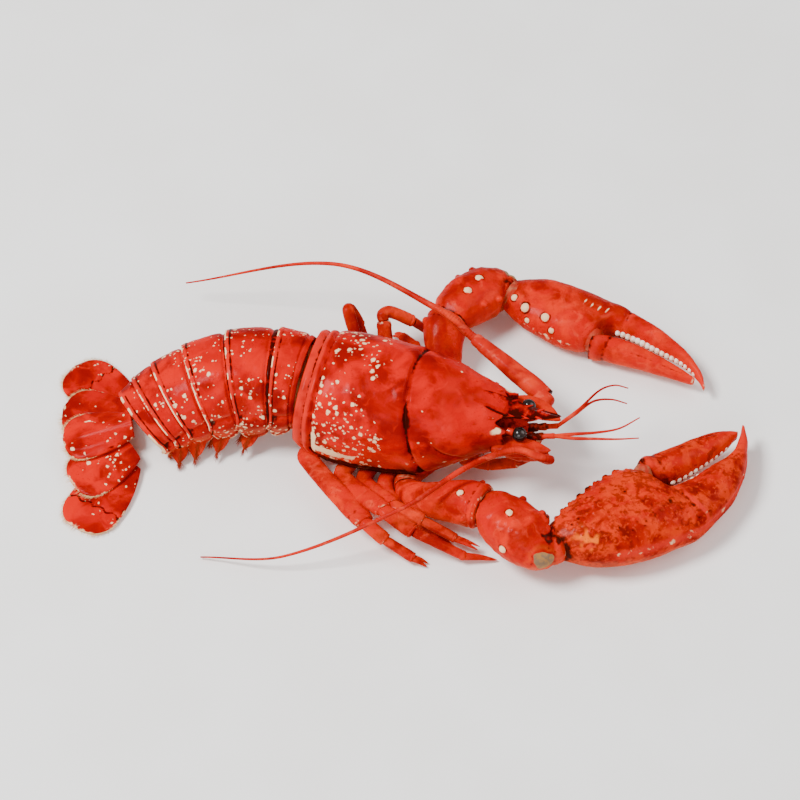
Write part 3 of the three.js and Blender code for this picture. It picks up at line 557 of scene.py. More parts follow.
def carapace_shell():
    """The back shell: the arch between a rear edge that is hollow at the midline and a front edge notched
    round the eyes, with the neck groove, a fine groove down the back, a rolled rim, and low hills all
    over."""
    s = shares(190)
    v = np.linspace(-1, 1, 231)[None, :]
    side = np.abs(v)
    rear = 1.6 * (1 - side**2) - 0.2 + 5.5 * smooth(0.74, 1.02, side) ** 2
    x = rear + s * (front_edge(side) - rear)
    grid = on_body(*np.broadcast_arrays(*carapace_arch(x, v + 0 * x)))
    neck = x - CARAPACE_LENGTH * (0.535 + 0.15 * side**1.6)
    neck_depth = 1.1 * smooth(1.0, 0.78, side) + 0.2
    cheek = side - (0.5 + 0.021 * (x - 60))
    cheek_here = smooth(56, 60, x) * smooth(76, 70, x)
    from_rear, from_margin, from_front = x - rear, (1 - side) * 55, (1 - s) * 40
    corner = smooth(0.66, 0.84, side)
    lift = -neck_depth * bell(neck, 1.1) + 0.45 * bell(neck + 3.2, 2.2)
    lift = lift - 0.55 * bell(cheek * 50, 1.3) * cheek_here
    lift = lift - 0.14 * bell(v * 55, 0.9) * smooth(70, 50, x) * smooth(8, 16, from_rear)
    lift = lift + 0.6 * bell(from_rear - 1.4, 1.5) - 0.7 * bell(from_rear - 3.7, 0.55)
    lift = lift + 0.5 * bell(from_rear - 5.6, 1.3)
    lift = lift - 0.9 * bell(from_rear - 7.8, 0.7) + 0.4 * smooth(8.6, 11, from_rear) * smooth(40, 20, x)
    rim = smooth(1.9, 1.3, from_margin)
    lift = lift + 0.5 * rim - 0.5 * bell(from_margin - 2.6, 0.7) * smooth(0, 3, from_rear)
    lift = lift + 0.8 * bell((x - 26) / 20, 1) * bell((side - 0.5) / 0.22, 1)
    lift = lift + 0.34 * hills(grid, 13) + 0.18 * hills(grid, 4.2, 1) + 0.07 * hills(grid, 1.6, 2)
    patchy = 0.55 + 0.6 * hills(grid, 3.1, 8)
    behind_corner = smooth(0.5, 0.66, side) * smooth(0.83, 0.79, side) * bell(from_rear - 9.5, 1.1)
    along_edge = bell(side - 0.745, 0.032) * smooth(7.5, 9.5, from_rear) * smooth(36, 18, x)
    pale = 1.3 * np.maximum(behind_corner, along_edge) * (0.6 + patchy)
    # Painted highlight: a pale streak along the rim of the front lower margin.
    pale = pale + 0.8 * rim * smooth(60, 66, x) * patchy
    pale = pale + 1.2 * bell(x - 87.4, 2.4) * bell(side - 0.39, 0.06)
    # Painted highlight: a pale streak just above the front lower margin.
    pale = pale + 0.8 * bell(side - 0.775, 0.02) * bell((x - 68) / 9, 1) * patchy
    # Painted highlight: a pale blotch on the lower side, about halfway along.
    pale = pale + 0.85 * bell((x - 50) / 7, 1) * bell((side - 0.72) / 0.035, 1) * patchy
    dark = 1.1 * bell(neck, 0.8) * smooth(1.0, 0.88, side) * (0.62 + 0.8 * hills(grid, 9, 5))
    dark = dark + 0.9 * bell(neck - 0.4, 1.9) * bell(side - 0.36, 0.07)
    dark = dark + 0.9 * bell(neck, 1.5) * bell(side - 0.9, 0.05)
    dark = dark + 0.5 * bell(cheek * 50, 0.8) * cheek_here
    dark = dark + 0.62 * bell(from_rear - 3.7, 0.5) * (0.6 + patchy)
    dark = dark + (0.5 + 0.6 * corner) * bell(from_rear - 7.9, 0.65) * (0.5 + patchy)
    # Painted shadow: a dark line along the visible lower edge of the shell's side.
    dark = dark + 0.95 * smooth(0.795, 0.835, side) * smooth(6, 11, from_rear) * smooth(62, 50, x)
    dark = dark + 0.5 * smooth(1.6, 0.6, from_front) * smooth(0.2, 0.3, side)
    # Painted pink highlight along the rolled rear rim.
    rosy = 0.95 * smooth(7.0, 5.4, from_rear) * (0.5 + 0.6 * patchy)
    # Painted highlight: a pink blotch on the lower side, about halfway along.
    rosy = rosy + 0.9 * bell((x - 52) / 9, 1) * bell((side - 0.7) / 0.07, 1)
    rosy = rosy + 0.35 * smooth(56, 64, x) * (0.4 + patchy)
    crowd = smooth(50, 26, x) * (0.45 + 0.5 * smooth(0.25, 0.7, side)) + 0.22 * smooth(86, 60, x)
    speck = np.clip((crowd + 0.22 * hills(grid, 12, 6)) * smooth(7.6, 9, from_rear), 0, 1)
    return shell(raised(grid, lift, False), 1.2, pale=pale, dark=dark, rosy=rosy, speck=speck)


def beak():
    """The spike between the eyes: it rises out of the back, narrows to a point, and has raised edges round a
    groove."""
    x = np.linspace(66, 113, 170)[:, None]
    angle = around(56)
    half = through(
        (66, 1.6), (76, 3.4), (84, 4.6), (90, 4.6), (98, 3.4), (106, 2.1), (112, 0.75), (113, 0.1)
    )(x)
    top = through((66, 46.2), (76, 44.7), (84, 42.7), (90, 41.3), (98, 40.6), (106, 41.2), (113, 42.4))(x)
    deep = through((66, 5), (88, 4.6), (98, 3), (106, 1.8), (112, 0.7), (113, 0.15))(x)
    c, s = np.cos(angle), np.sin(angle)
    y = half * bent(c, 0.8)
    edge = np.abs(c) ** 3
    z = np.where(s > 0, top - 0.9 * (1 - edge) * bell(x - 96, 26) * s, top - deep * np.abs(s) ** 0.9)
    grid = on_body(x + 0 * y, y, z)
    lift = 0.05 * hills(grid, 1.4, 4)
    streak = 0.5 + 0.8 * hills(grid, 3.0, 12)
    left_edge = np.maximum(bell(angle, 0.75), bell(angle - 2 * np.pi, 0.75))
    dark = 1.4 * np.maximum(bell(angle - np.pi, 0.75), left_edge) * smooth(72, 86, x) * (0.6 + 0.5 * streak)
    dark = dark + 0.8 * smooth(76, 96, x) * np.maximum(s, 0) * (1 - edge) * streak
    dark = dark + 0.55 * smooth(88, 104, x) * (0.4 + 0.6 * streak)
    bodies = [closed_tube(raised(grid, lift), dark=np.clip(dark, 0, 1))]
    for station, size in ((91.5, 2.2), (98.0, 2.0), (104.0, 1.6)):
        wide = through((66, 3.0), (76, 5.2), (89, 4.6), (98, 3.4), (106, 2.1), (113, 0.1))(station)
        height = through((84, 43.7), (90, 41.2), (98, 40.4), (106, 41.0))(station)
        for sign in (-1, 1):
            foot = on_body(station - 1.6, sign * (wide - 0.7), height - 0.9)
            tip = on_body(station + size, sign * (wide + 0.5), height + 0.7)
            bodies.append(spike(foot, tip, 0.8))
    return bodies


def spike(foot, tip, radius, pale=0.0):
    """A pointed thorn from foot to tip: its radius falls as one minus the height to the power 1.5."""
    t = shares(8)
    r = radius * np.maximum(1 - t**1.5, 0.03)
    return rod(foot + (tip - foot) * t, r, r, 10, (0.31, 0.12, 0.94), pale=pale * t)


thorn_places = ((83, 0.21, 2.4), (80.5, 0.44, 1.7), (77, 0.3, 1.7), (66, 0.46, 1.5), (73, 0.14, 1.3))
thorns = []
for sign in (-1, 1):
    for x, v, length in thorn_places:
        foot = on_body(*carapace_arch(x, sign * v))
        ahead = on_body(*carapace_arch(x + length, sign * v))
        lift = np.array([0, 0, 0.32 * length]) - on_body(0, sign * 0.12 * length, 0) + on_body(0, 0, 0)
        thorns.append(spike(foot - lift * 0.5, ahead + lift * 0.7, 0.36 * length, 0.4))
make("carapace_shell", [carapace_shell(), *beak(), *thorns], back_shell, "back_shell", "carapace")


# ---- Chest: keel, leg sockets and the face under the beak ----
def chest_body():
    """Belly side of the fore body: a flat keel, a step out to the leg sockets and a ceiling that meets the
    back shell. Cross ribs part it into plates. In front it narrows and rises into the face between the
    feelers."""
    x = np.concatenate([np.linspace(2, 91, 150), np.linspace(91.3, 98.5, 26)])[:, None]
    a = np.linspace(0, 1, 121)[None, :]
    low = through(
        (0, 6), (10, 0.02), (11, 0), (61, 0), (62, 0.02), (68, 7), (77, 12), (88, 17), (98.5, 22)
    )(x)
    low = np.where((x > 10.5) & (x < 61.6), 0, np.maximum(low, 0))
    foot = through((0, 6), (18, 7), (62, 7), (88, 4), (98.5, 2.6))(x)
    step = through((0, 8), (22, 10), (62, 10.5), (80, 9), (91, 5.6), (98.5, 3.6))(x)
    wing = through((0, 17), (12, 20.5), (50, 21.5), (66, 18), (80, 11), (91, 6), (98.5, 3.6))(x)
    roof = through((0, 18), (12, 15), (50, 14.5), (66, 18), (80, 26), (90, 31), (98.5, 29))(x)
    shelf = through((0, 13), (12, 9.4), (50, 9.2), (66, 12.4), (80, 19), (91, 23), (98.5, 24.6))(x)
    shelf = np.minimum(shelf, roof - 0.4)
    rib = bell(np.mod(x - 15, 9.2) - 4.6, 0.8) * smooth(8, 14, x) * smooth(64, 58, x)
    knots = np.array([0, 0.2, 0.3, 0.44, 0.62, 0.74, 1.0])
    z_marks = [
        low + 0 * step, low + 0.1, low + (shelf - low) * 0.45, shelf - 0.2 * rib, shelf + 0.8, roof - 1.0,
        roof,
    ]
    y_marks = [0 * low, foot, step, step + 1.5, wing, wing * 0.97, 0 * low]
    z, y = blend_marks(knots, z_marks, a), blend_marks(knots, y_marks, a)
    y, z = np.concatenate([y, -y[:, -2:0:-1]], axis=1), np.concatenate([z, z[:, -2:0:-1]], axis=1)
    b = np.concatenate([a, a[:, -2:0:-1]], axis=1)
    grid = on_body(x + 0 * y, y, z)
    body = smooth(0.22, 0.3, b)
    grid = raised(grid, (0.35 * hills(grid, 5, 3) - 0.9 * rib) * body)
    front = smooth(66, 80, x) * np.ones_like(b)
    return closed_tube(grid, dark=np.clip(rib * body + 0.5 * bell(b - 0.3, 0.03), 0, 1), front=front)


def blend_marks(knots, marks, a):
    """Values between marked columns: a straight blend from each mark to the next."""
    out = marks[0] + 0 * a
    for k in range(len(knots) - 1):
        share = np.clip((a - knots[k]) / (knots[k + 1] - knots[k]), 0, 1)
        out = out + (marks[k + 1] - marks[k]) * share
    return out


make("chest_plates", [chest_body()], belly_plate, "underside", "chest")

# ---- Tail ----
TAIL_LENGTH = 77.0
SPINE_HEIGHT = 29.0
TAIL_TURN = math.radians(47)
TAIL_DROOP = math.radians(30)
SPINE_STEPS = 230
FAN_TURN = math.radians(-22.5)
RING_ENDS = (0, 0.15, 0.39, 0.605, 0.775, 0.895, 1)


def spine_directions(share):
    """Backward, left and upward directions at a share of the tail, which swings to one side and droops."""
    turn, droop = BODY_YAW + TAIL_TURN * share, TAIL_DROOP * share**1.4
    back = np.stack([-np.cos(turn) * np.cos(droop), -np.sin(turn) * np.cos(droop), -np.sin(droop)], axis=-1)
    left = np.stack([-np.sin(turn), np.cos(turn), 0 * turn], axis=-1)
    return back, left, np.cross(-back, left)


spine_shares = np.arange(1, SPINE_STEPS) / SPINE_STEPS
strides = spine_directions(spine_shares)[0] * TAIL_LENGTH / (SPINE_STEPS - 1)
spine_start = on_body(-0.5, 0, SPINE_HEIGHT)
spine = np.concatenate([[spine_start], spine_start + np.cumsum(strides, axis=0)])


def on_spine(share):
    """Point on the tail's middle line, going straight on beyond its ends."""
    at = np.clip(share, 0, 1) * (SPINE_STEPS - 1)
    point = between(at, np.arange(SPINE_STEPS), spine)
    back = spine_directions(np.clip(share, 0, 1))[0]
    return point + back * ((share - np.clip(share, 0, 1)) * TAIL_LENGTH)[..., None]


tail_half_width = through((0, 20.5), (0.2, 21.3), (0.45, 20.3), (0.7, 19.2), (0.9, 18), (1, 17))
tail_top = through((0, 17), (0.2, 18.4), (0.45, 17.4), (0.7, 14.6), (0.9, 11.4), (1, 9.4))
tail_belly = through((0, 10), (0.2, 11.5), (0.45, 11), (0.7, 9), (0.9, 6.5), (1, 5))
flap_drop = through((0, 14), (0.2, 18.5), (0.45, 18.5), (0.7, 16.8), (0.9, 13.8), (1, 10))
ring_girth = through(
    (-0.12, 0.9), (0.04, 0.945), (0.16, 0.972), (0.22, 0.968), (0.3, 0.99), (0.6, 1.0), (0.92, 1.012),
    (1.14, 1.006),
)
flap_lobe = through(
    (-0.1, 0.2), (0, 0.3), (0.25, 0.72), (0.55, 0.98), (0.72, 1), (0.88, 0.78), (1, 0.4), (1.14, 0.2)
)
HIP_LINE = 0.68


def tail_ring(number):
    """One ring of the tail: a sheet from the tip of one side flap over the back to the other. Its front dips
    under the ring before, its rear lip laps over the ring behind, and each flap is a lobe that leans
    backwards."""
    start, end = RING_ENDS[number], RING_ENDS[number + 1]
    lap = 0.0 if number == 5 else 0.12
    within = np.linspace(-0.06 if number else 0.0, 1 + lap, 66)[:, None]
    share = start + (end - start) * within
    kept = np.clip(share, 0, 1)
    q = np.linspace(-1, 1, 201)[None, :]
    side = np.abs(q)
    crown = np.clip(side / HIP_LINE, 0, 1) * np.pi / 2
    down = np.clip((side - HIP_LINE) / (1 - HIP_LINE), 0, 1)
    width, top, belly = tail_half_width(kept), tail_top(kept), tail_belly(kept)
    drop = belly * 0.8 + (flap_drop(kept) - belly * 0.8) * flap_lobe(within)
    girth = ring_girth(within)
    flare = 1 + 0.05 * np.sin(np.pi * down) - 0.09 * down**2
    y = -np.sign(q) * width * girth * np.where(side < HIP_LINE, np.sin(crown) ** 0.9, flare)
    z = np.where(side < HIP_LINE, top * girth * np.maximum(np.cos(crown), 0) ** 0.88, -drop * down)
    lean = 2.2 * down**2 * smooth(0.1, 0.9, within)
    back, left, up = spine_directions(kept)
    grid = on_spine(share) + y[..., None] * left + z[..., None] * up + lean[..., None] * back
    step, lip, flap_edge = within - 0.2, smooth(0.97, 1.02, within), (1 - side) * 46
    lift = -0.5 * bell(step, 0.035) + 0.35 * lip + 0.22 * hills(grid, 8, number) + 0.1 * hills(grid, 3, 9)
    lift = lift + 0.04 * hills(grid, 1.3, 4) + 0.45 * smooth(2.2, 1.2, flap_edge)
    lift = lift - 0.7 * bell(side - 0.71, 0.022) * bell(within - 0.5, 0.45) + 0.5 * bell(side - 0.82, 0.06)
    ring_length = (end - start) * TAIL_LENGTH
    to_lip = (1 + lap - within) * ring_length
    patchy = 0.5 + 0.9 * hills(grid, 5, 3)
    pale = 1.1 * smooth(0.8, 0.35, to_lip) * np.clip(0.35 + 1.7 * hills(grid, 4, 13), 0, 1)
    pale = pale + 0.55 * smooth(1.4, 0.5, flap_edge) * (0.6 + patchy)
    dark = 0.75 * bell(to_lip - 1.9, 0.4) * (0.5 + patchy)
    dark = dark + 1.15 * smooth(0.225, 0.15, within) * (number > 0) * (0.75 + 0.4 * hills(grid, 6, 14))
    dark = dark + 0.4 * bell(side - 0.71, 0.015) * bell(within - 0.5, 0.3)
    dark = dark + 0.7 * bell(side - 0.73, 0.05) * bell(to_lip - 3, 1.5)
    rosy = 0.6 * smooth(1.7, 1.1, to_lip)
    rosy = rosy + 0.75 * bell(side - 0.62, 0.12) * bell(within - 0.35, 0.25) * patchy
    speck = (0.5 + 0.45 * hills(grid, 9, 7)) * smooth(0.16, 0.3, within)
    return shell(raised(grid, lift, False), 1.0, pale=pale, dark=dark, rosy=rosy, speck=np.clip(speck, 0, 1))


def tail_belly_plate(number):
    """Soft underside between the flaps of one ring, with a rib across its middle."""
    within = np.linspace(0.02, 0.98, 20)[:, None]
    share = RING_ENDS[number] + (RING_ENDS[number + 1] - RING_ENDS[number]) * within
    angle = around(56)
    c, s = np.cos(angle), np.sin(angle)
    y = tail_half_width(share) * 0.84 * bent(c, 0.7)
    rib = 0.9 * bell(within - 0.5, 0.13)
    below = tail_belly(share) * bent(s, 0.45) - rib * (s < -0.3)
    z = np.where(s > 0, 0.5 * tail_top(share) * bent(s, 0.8), below)
    left, up = spine_directions(share)[1:]
    grid = on_spine(share) + y[..., None] * left + z[..., None] * up
    return closed_tube(raised(grid, 0.25 * hills(grid, 3, 6)), dark=0.7 * bell(within - 0.5, 0.1))


for number in range(6):
    name = f"tail_ring_{number + 1}"
    make(f"{name}_shell", [tail_ring(number)], tail_shell, "tail_shell", name)
    make(f"tail_belly_{number + 1}", [tail_belly_plate(number)], belly_plate, "underside")

# ---- Tail fan ----
leaf_width = through(
    (0, 0.5), (0.12, 0.66), (0.35, 0.88), (0.62, 1), (0.82, 0.93), (0.93, 0.7), (0.98, 0.42), (1, 0.12)
)
fan_heading = BODY_YAW + TAIL_TURN + FAN_TURN
fan_back = np.array([-math.cos(fan_heading), -math.sin(fan_heading), 0])
fan_across = np.array([-math.sin(fan_heading), math.cos(fan_heading), 0])
FAN_HAIRS = 620


def fan_leaf(across, behind, height, spread, droop, length, width, thick, suture, seed):
    """A thin leaf with a rounded end: sections are flat ovals, pinched at the edges, over a middle rib and
    fine veins that fan out. A suture across it at two thirds, if any, steps down. Its end carries a fringe of
    hairs."""
    heading = fan_heading + math.radians(spread)
    root = on_spine(np.array(1.0)) * [1, 1, 0] + fan_across * across + fan_back * behind + [0, 0, height]
    back = unit(np.array([-math.cos(heading), -math.sin(heading), -math.tan(math.radians(droop))]))
    t = (1 - np.cos(np.linspace(0, 1, 90) * np.pi)) / 2
    path = root + back * (t * length)[:, None]
    t = t[:, None]
    angle = around(96)
    c, s = np.cos(angle), np.sin(angle)
    half = width / 2 * leaf_width(t)
    rise = thick * (1 - 0.55 * t)
    side = half * bent(c, 0.9)
    top = rise * 0.7 * np.abs(s) ** 0.8
    rib = 0.75 * bell(side, 1.1) * smooth(0.98, 0.6, t)
    rib = rib + 0.35 * bell(np.abs(side) - half * 0.55, 0.8) * smooth(0.1, 0.3, t)
    veins = 0.035 * np.sin(26 * np.arctan2(side, t * length + 9) * 2.4) * smooth(0.2, 0.5, t)
    cut = bell((t - suture - 0.02 * np.cos(side)) * length, 0.55) if suture else 0 * t
    above = top + (rib + veins) * np.sqrt(np.maximum(s, 0)) - 0.5 * cut
    grid = carried(path, side, np.where(s > 0, above, -rise * 0.45 * np.abs(s) ** 0.8))
    rim = smooth(0.9, 0.985, np.abs(c)) * smooth(0.3, 0.6, t)
    patchy = 0.5 + 0.8 * hills(grid, 3.2, seed)
    swirl = bell(np.abs(side) - half * (0.35 + 0.2 * np.sin(t * 9 + seed)), 0.35) * bell(t - 0.6, 0.2)
    pale = 0.55 * smooth(0.94, 0.99, t) + 0.45 * rim * patchy
    pale = pale + 0.85 * swirl * (s > 0) * smooth(0.5, 0.9, patchy)
    dark = 0.95 * cut * (s > 0)
    dark = dark + 0.4 * bell(np.abs(side) - half * 0.93, 0.5) * smooth(0.85, 0.5, t) * (0.3 + patchy)
    rosy = 0.7 * rib * (s > 0) * patchy
    grid = grid + 0.1 * hills(grid, 4, seed)[..., None] * np.array([0, 0, 1])
    speck = np.clip(0.3 + 0.5 * hills(grid, 9, 2), 0, 1)
    leaf = closed_tube(grid, pale=pale, dark=dark, rosy=rosy, speck=speck)
    return leaf, leaf_hairs(root, back, length, width, seed)


def leaf_hairs(root, back, length, width, seed):
    """Hairs round the outer half of a leaf: each stands just inside the edge and points square to it and
    backwards, nearly level. They grow longer towards the leaf's end."""
    random = np.random.default_rng(seed)
    reach = random.uniform(0.45, 0.999, FAN_HAIRS)
    sign = random.choice([-1, 1], FAN_HAIRS)
    flank = sign * leaf_width(reach) * width / 2
    across = np.array([-back[1], back[0], 0]) / math.hypot(back[0], back[1])
    inset = random.uniform(0.86, 0.98, FAN_HAIRS)
    roots = root + back * (reach * length)[:, None] + across * (flank * inset)[:, None]
    steps = np.linspace(0, 1, 400)
    slope = np.interp(reach, steps, np.gradient(leaf_width(steps) * width / 2, steps[1]))
    outward = across * sign[:, None] - back * (slope / length)[:, None]
    outward = unit(outward) * 0.6 + back * 0.7 + random.normal(0, 0.1, (FAN_HAIRS, 3))
    outward[:, 2] = outward[:, 2] * 0.4 - 0.02
    roots[:, 2] = np.maximum(roots[:, 2], 0.6)
    lengths = random.uniform(1.4, 3.0, FAN_HAIRS) * smooth(0.4, 0.75, reach)
    return bristles(roots, outward, lengths, 0.085, pale=0.9)


def add_leaf(name, *sizes):
    """Makes a leaf of the fan and its hairs."""
    leaf, hair = fan_leaf(*sizes)
    make(f"{name}_shell", [leaf], tail_shell, "tail_shell", name)
    make(f"{name}_fringe", [hair], fringe_hair, "underside")


add_leaf("telson", -1, 4, 11, 0, 10, 31, 24, 4.2, 0, 21)
for sign, side in ((1, "left"), (-1, "right")):
    left = sign > 0
    inner = (8.5 * sign - 2, 4 if left else 5, 6.4, -23 * sign, 6, 31, 25, 3.0, 0, 23 + sign)
    outer = (12.5 * sign - 2.5, 2 if left else 8, 2.9, -54 if left else 50, 2.2, 40, 26, 2.4, 0.66, 27 + sign)
    add_leaf(f"fan_inner_{side}", *inner)
    add_leaf(f"fan_outer_{side}", *outer)


# ---- Limb tools ----
def knobs(grid, paint, spots):
    """Raises round knobs on a closed grid. A spot is (share along, degrees round, radius, height, paleness);
    a paleness below 0 makes the knob dark instead."""
    lift = np.zeros(grid.shape[:2])
    for along, degrees, radius, height, whiteness in spots:
        near = nearness(grid, along, degrees, radius)
        hump = np.sqrt(np.maximum(1 - near**2, 0)) * 0.65 + 0.35 * smooth(1.25, 0.4, near)
        lift = np.maximum(lift, height * hump)
        paint["pale"] = np.maximum(paint["pale"], 1.3 * whiteness * smooth(1.05, 0.8, near))
        paint["dark"] = np.maximum(paint["dark"], (whiteness > 0) * 0.75 * bell(near - 1.25, 0.2))
        paint["dark"] = np.maximum(paint["dark"], -whiteness * smooth(1.1, 0.3, near))
    return raised(grid, lift)


def nearness(grid, along, degrees, radius, stretch=(1, 1, 1)):
    """Each point's distance over radius from the spot at a share of the grid's length and an angle round
    it."""
    rows, columns = grid.shape[:2]
    spot = grid[int(along * (rows - 1)), int(degrees % 360 / 360 * columns)]
    return np.linalg.norm((grid - spot) * stretch, axis=-1) / radius


def blank_paint(grid):
    """Every paint of a boiled shell, at nothing all over the grid."""
    return {name: np.zeros(grid.shape[:2]) for name in ("pale", "dark", "speck", "rosy", "gold", "soft")}


def add_paint(paint, **amounts):
    """Adds to the named paints."""
    for name, amount in amounts.items():
        paint[name] = paint[name] + amount


def windows(grid, paint, places):
    """Paints patches of skin with a darker border where the shell leaves them bare: (share along, degrees,
    radius)."""
    for along, degrees, radius in places:
        near = nearness(grid, along, degrees, radius, (1, 1.25, 1)) + 0.3 * hills(grid, 3.0, 9)
        paint["soft"] = np.maximum(paint["soft"], smooth(1.0, 0.8, near))
        paint["dark"] = np.maximum(paint["dark"], 0.5 * bell(near - 1.02, 0.08))
        paint["gold"] = np.maximum(paint["gold"], 0.3 * bell(near - 1.3, 0.3))


def painted_shadows(grid, paint, places):
    """Paints ragged dark patches of painted shadow: (share along, degrees, radius)."""
    for along, degrees, radius in places:
        near = nearness(grid, along, degrees, radius) + 0.55 * hills(grid, 2.6, 19)
        paint["dark"] = np.maximum(paint["dark"], 0.66 * smooth(1.0, 0.45, near))


def limb_tube(path, width, height, columns=48, power=0.9, rough=0.12, seed=0, spots=(), bare=(), shadow_places=()):
    """A limb piece along a path: sections are squared ovals of the given half width and half height along it,
    with a rolled lip at the far end, a dark near end, and knobs, bare patches and patches of painted shadow
    at the given places."""
    t = shares(len(path))
    angle = around(columns)
    lip = 1 + 0.05 * bell(t - 0.965, 0.022) - 0.05 * bell(t - 0.915, 0.02)
    side = width(t) * lip * bent(np.cos(angle), power)
    rise = height(t) * lip * bent(np.sin(angle), power)
    grid = carried(path, side, rise)
    paint = blank_paint(grid)
    add_paint(
        paint, pale=0.3 * smooth(0.96, 0.985, t), speck=0.08, rosy=0.4 * bell(t - 0.93, 0.05),
        dark=0.9 * smooth(0.06, 0.0, t) + 0.45 * bell(t - 0.915, 0.015),
    )
    grid = raised(grid, rough * (1.6 * hills(grid, 6, seed) + 0.8 * hills(grid, 2.2, seed + 1)))
    windows(grid, paint, bare)
    # Painted shadow patches at the given places.
    painted_shadows(grid, paint, shadow_places)
    return closed_tube(knobs(grid, paint, spots), **paint)


# ---- Claws ----
CLAW_THICKNESS = through(
    (0, 0.5), (0.06, 0.74), (0.15, 0.92), (0.3, 1), (0.42, 0.96), (0.55, 0.74), (0.7, 0.6), (0.85, 0.43),
    (0.95, 0.26), (1, 0.1),
)
crusher = dict(
    wrist=(110, -61, 16), heading=35, sink=3, inner_side=1, roll=4, length=106, thickness=27,
    outer=through(
        (0, 9), (0.06, 15), (0.14, 21), (0.26, 26), (0.4, 29), (0.52, 29.5), (0.64, 27), (0.76, 21.5),
        (0.87, 13), (0.95, 4), (1, -5),
    ),
    inner=through(
        (0, 7), (0.06, 9), (0.14, 11.5), (0.24, 13.6), (0.34, 14.8), (0.43, 14.2), (0.475, 10), (0.51, 0.5),
        (0.54, -3.4), (0.6, -4.4), (0.75, -4.2), (0.87, -2.6), (0.95, 2), (1, 7),
    ),
    finger_outer=through(
        (0.49, 12.5), (0.53, 14.4), (0.6, 13.6), (0.68, 12.8), (0.77, 12), (0.86, 10.2), (0.92, 7.2),
        (0.95, 4.6),
    ),
    finger_inner=through(
        (0.49, 8.6), (0.53, 2), (0.57, -1), (0.62, -1.8), (0.75, -1.2), (0.86, 0.4), (0.92, 2.2), (0.95, 3.4)
    ),
)
cutter = dict(
    wrist=(93, 78, 12), heading=-29.6, sink=2.6, inner_side=-1, roll=2, length=98, thickness=20,
    outer=through(
        (0, 8), (0.06, 12), (0.15, 15.6), (0.3, 17.6), (0.45, 17.8), (0.6, 16.8), (0.75, 14.4), (0.88, 9.8),
        (0.96, 4.4), (1, -0.5),
    ),
    inner=through(
        (0, 7), (0.06, 9.5), (0.15, 11.6), (0.27, 12.2), (0.37, 11.2), (0.43, 8), (0.465, -2), (0.5, -5.6),
        (0.6, -6.8), (0.72, -6.6), (0.86, -5.4), (0.95, -1.6), (1, 2.2),
    ),
    finger_outer=through(
        (0.45, 9.6), (0.5, 9.6), (0.6, 7.4), (0.7, 5.2), (0.8, 3.6), (0.88, 2.4), (0.94, 1.2)
    ),
    finger_inner=through(
        (0.45, 5), (0.485, 1.2), (0.52, -1.4), (0.6, -3), (0.7, -3.2), (0.8, -2.8), (0.88, -2), (0.94, -0.8)
    ),
)


def claw_frame(claw):
    """The claw's pointing direction, from its heading and how far it sinks, and the sideways and upward ones
    square to it, rolled about it."""
    heading, sink, roll = (math.radians(claw[key]) for key in ("heading", "sink", "roll"))
    along = unit(np.array([math.cos(heading), math.sin(heading), -math.sin(sink)]))
    up = np.array([0.0, 0.0, 1.0])
    rolled = up * math.cos(roll) + np.cross(along, up) * math.sin(roll)
    across = unit(np.cross(rolled + along * (along @ up) * (1 - math.cos(roll)), along))
    return along, across, np.cross(along, across)


def claw_point(claw, t, inward, rise):
    """Point in a claw: t along it, inward towards the finger's side and rise above its middle plane, in
    mm."""
    along, across, up = claw_frame(claw)
    t, inward, rise = np.broadcast_arrays(*(np.asarray(a, float) for a in (t, inward, rise)))
    offset = (t * claw["length"])[..., None] * along + (inward * claw["inner_side"])[..., None] * across
    return np.array(claw["wrist"], float) + offset + rise[..., None] * up


def claw_surface(claw, outer, inner, start, end, rows, columns, thin, power):
    """Grid over a palm or finger between its outer and inner edges: each section is a squared oval whose
    height follows the claw's thickness. Angle 0 is the inner edge, a quarter turn the top."""
    t = start + (end - start) * shares(rows)
    angle = around(columns)
    low, high = -outer(t), inner(t)
    half = np.maximum((high - low) / 2, 0.35)
    inward = (low + high) / 2 + half * bent(np.cos(angle), power)
    rise = claw["thickness"] / 2 * CLAW_THICKNESS(t) * thin * bent(np.sin(angle), power)
    return t, angle, claw_point(claw, t + 0 * inward, inward, rise)


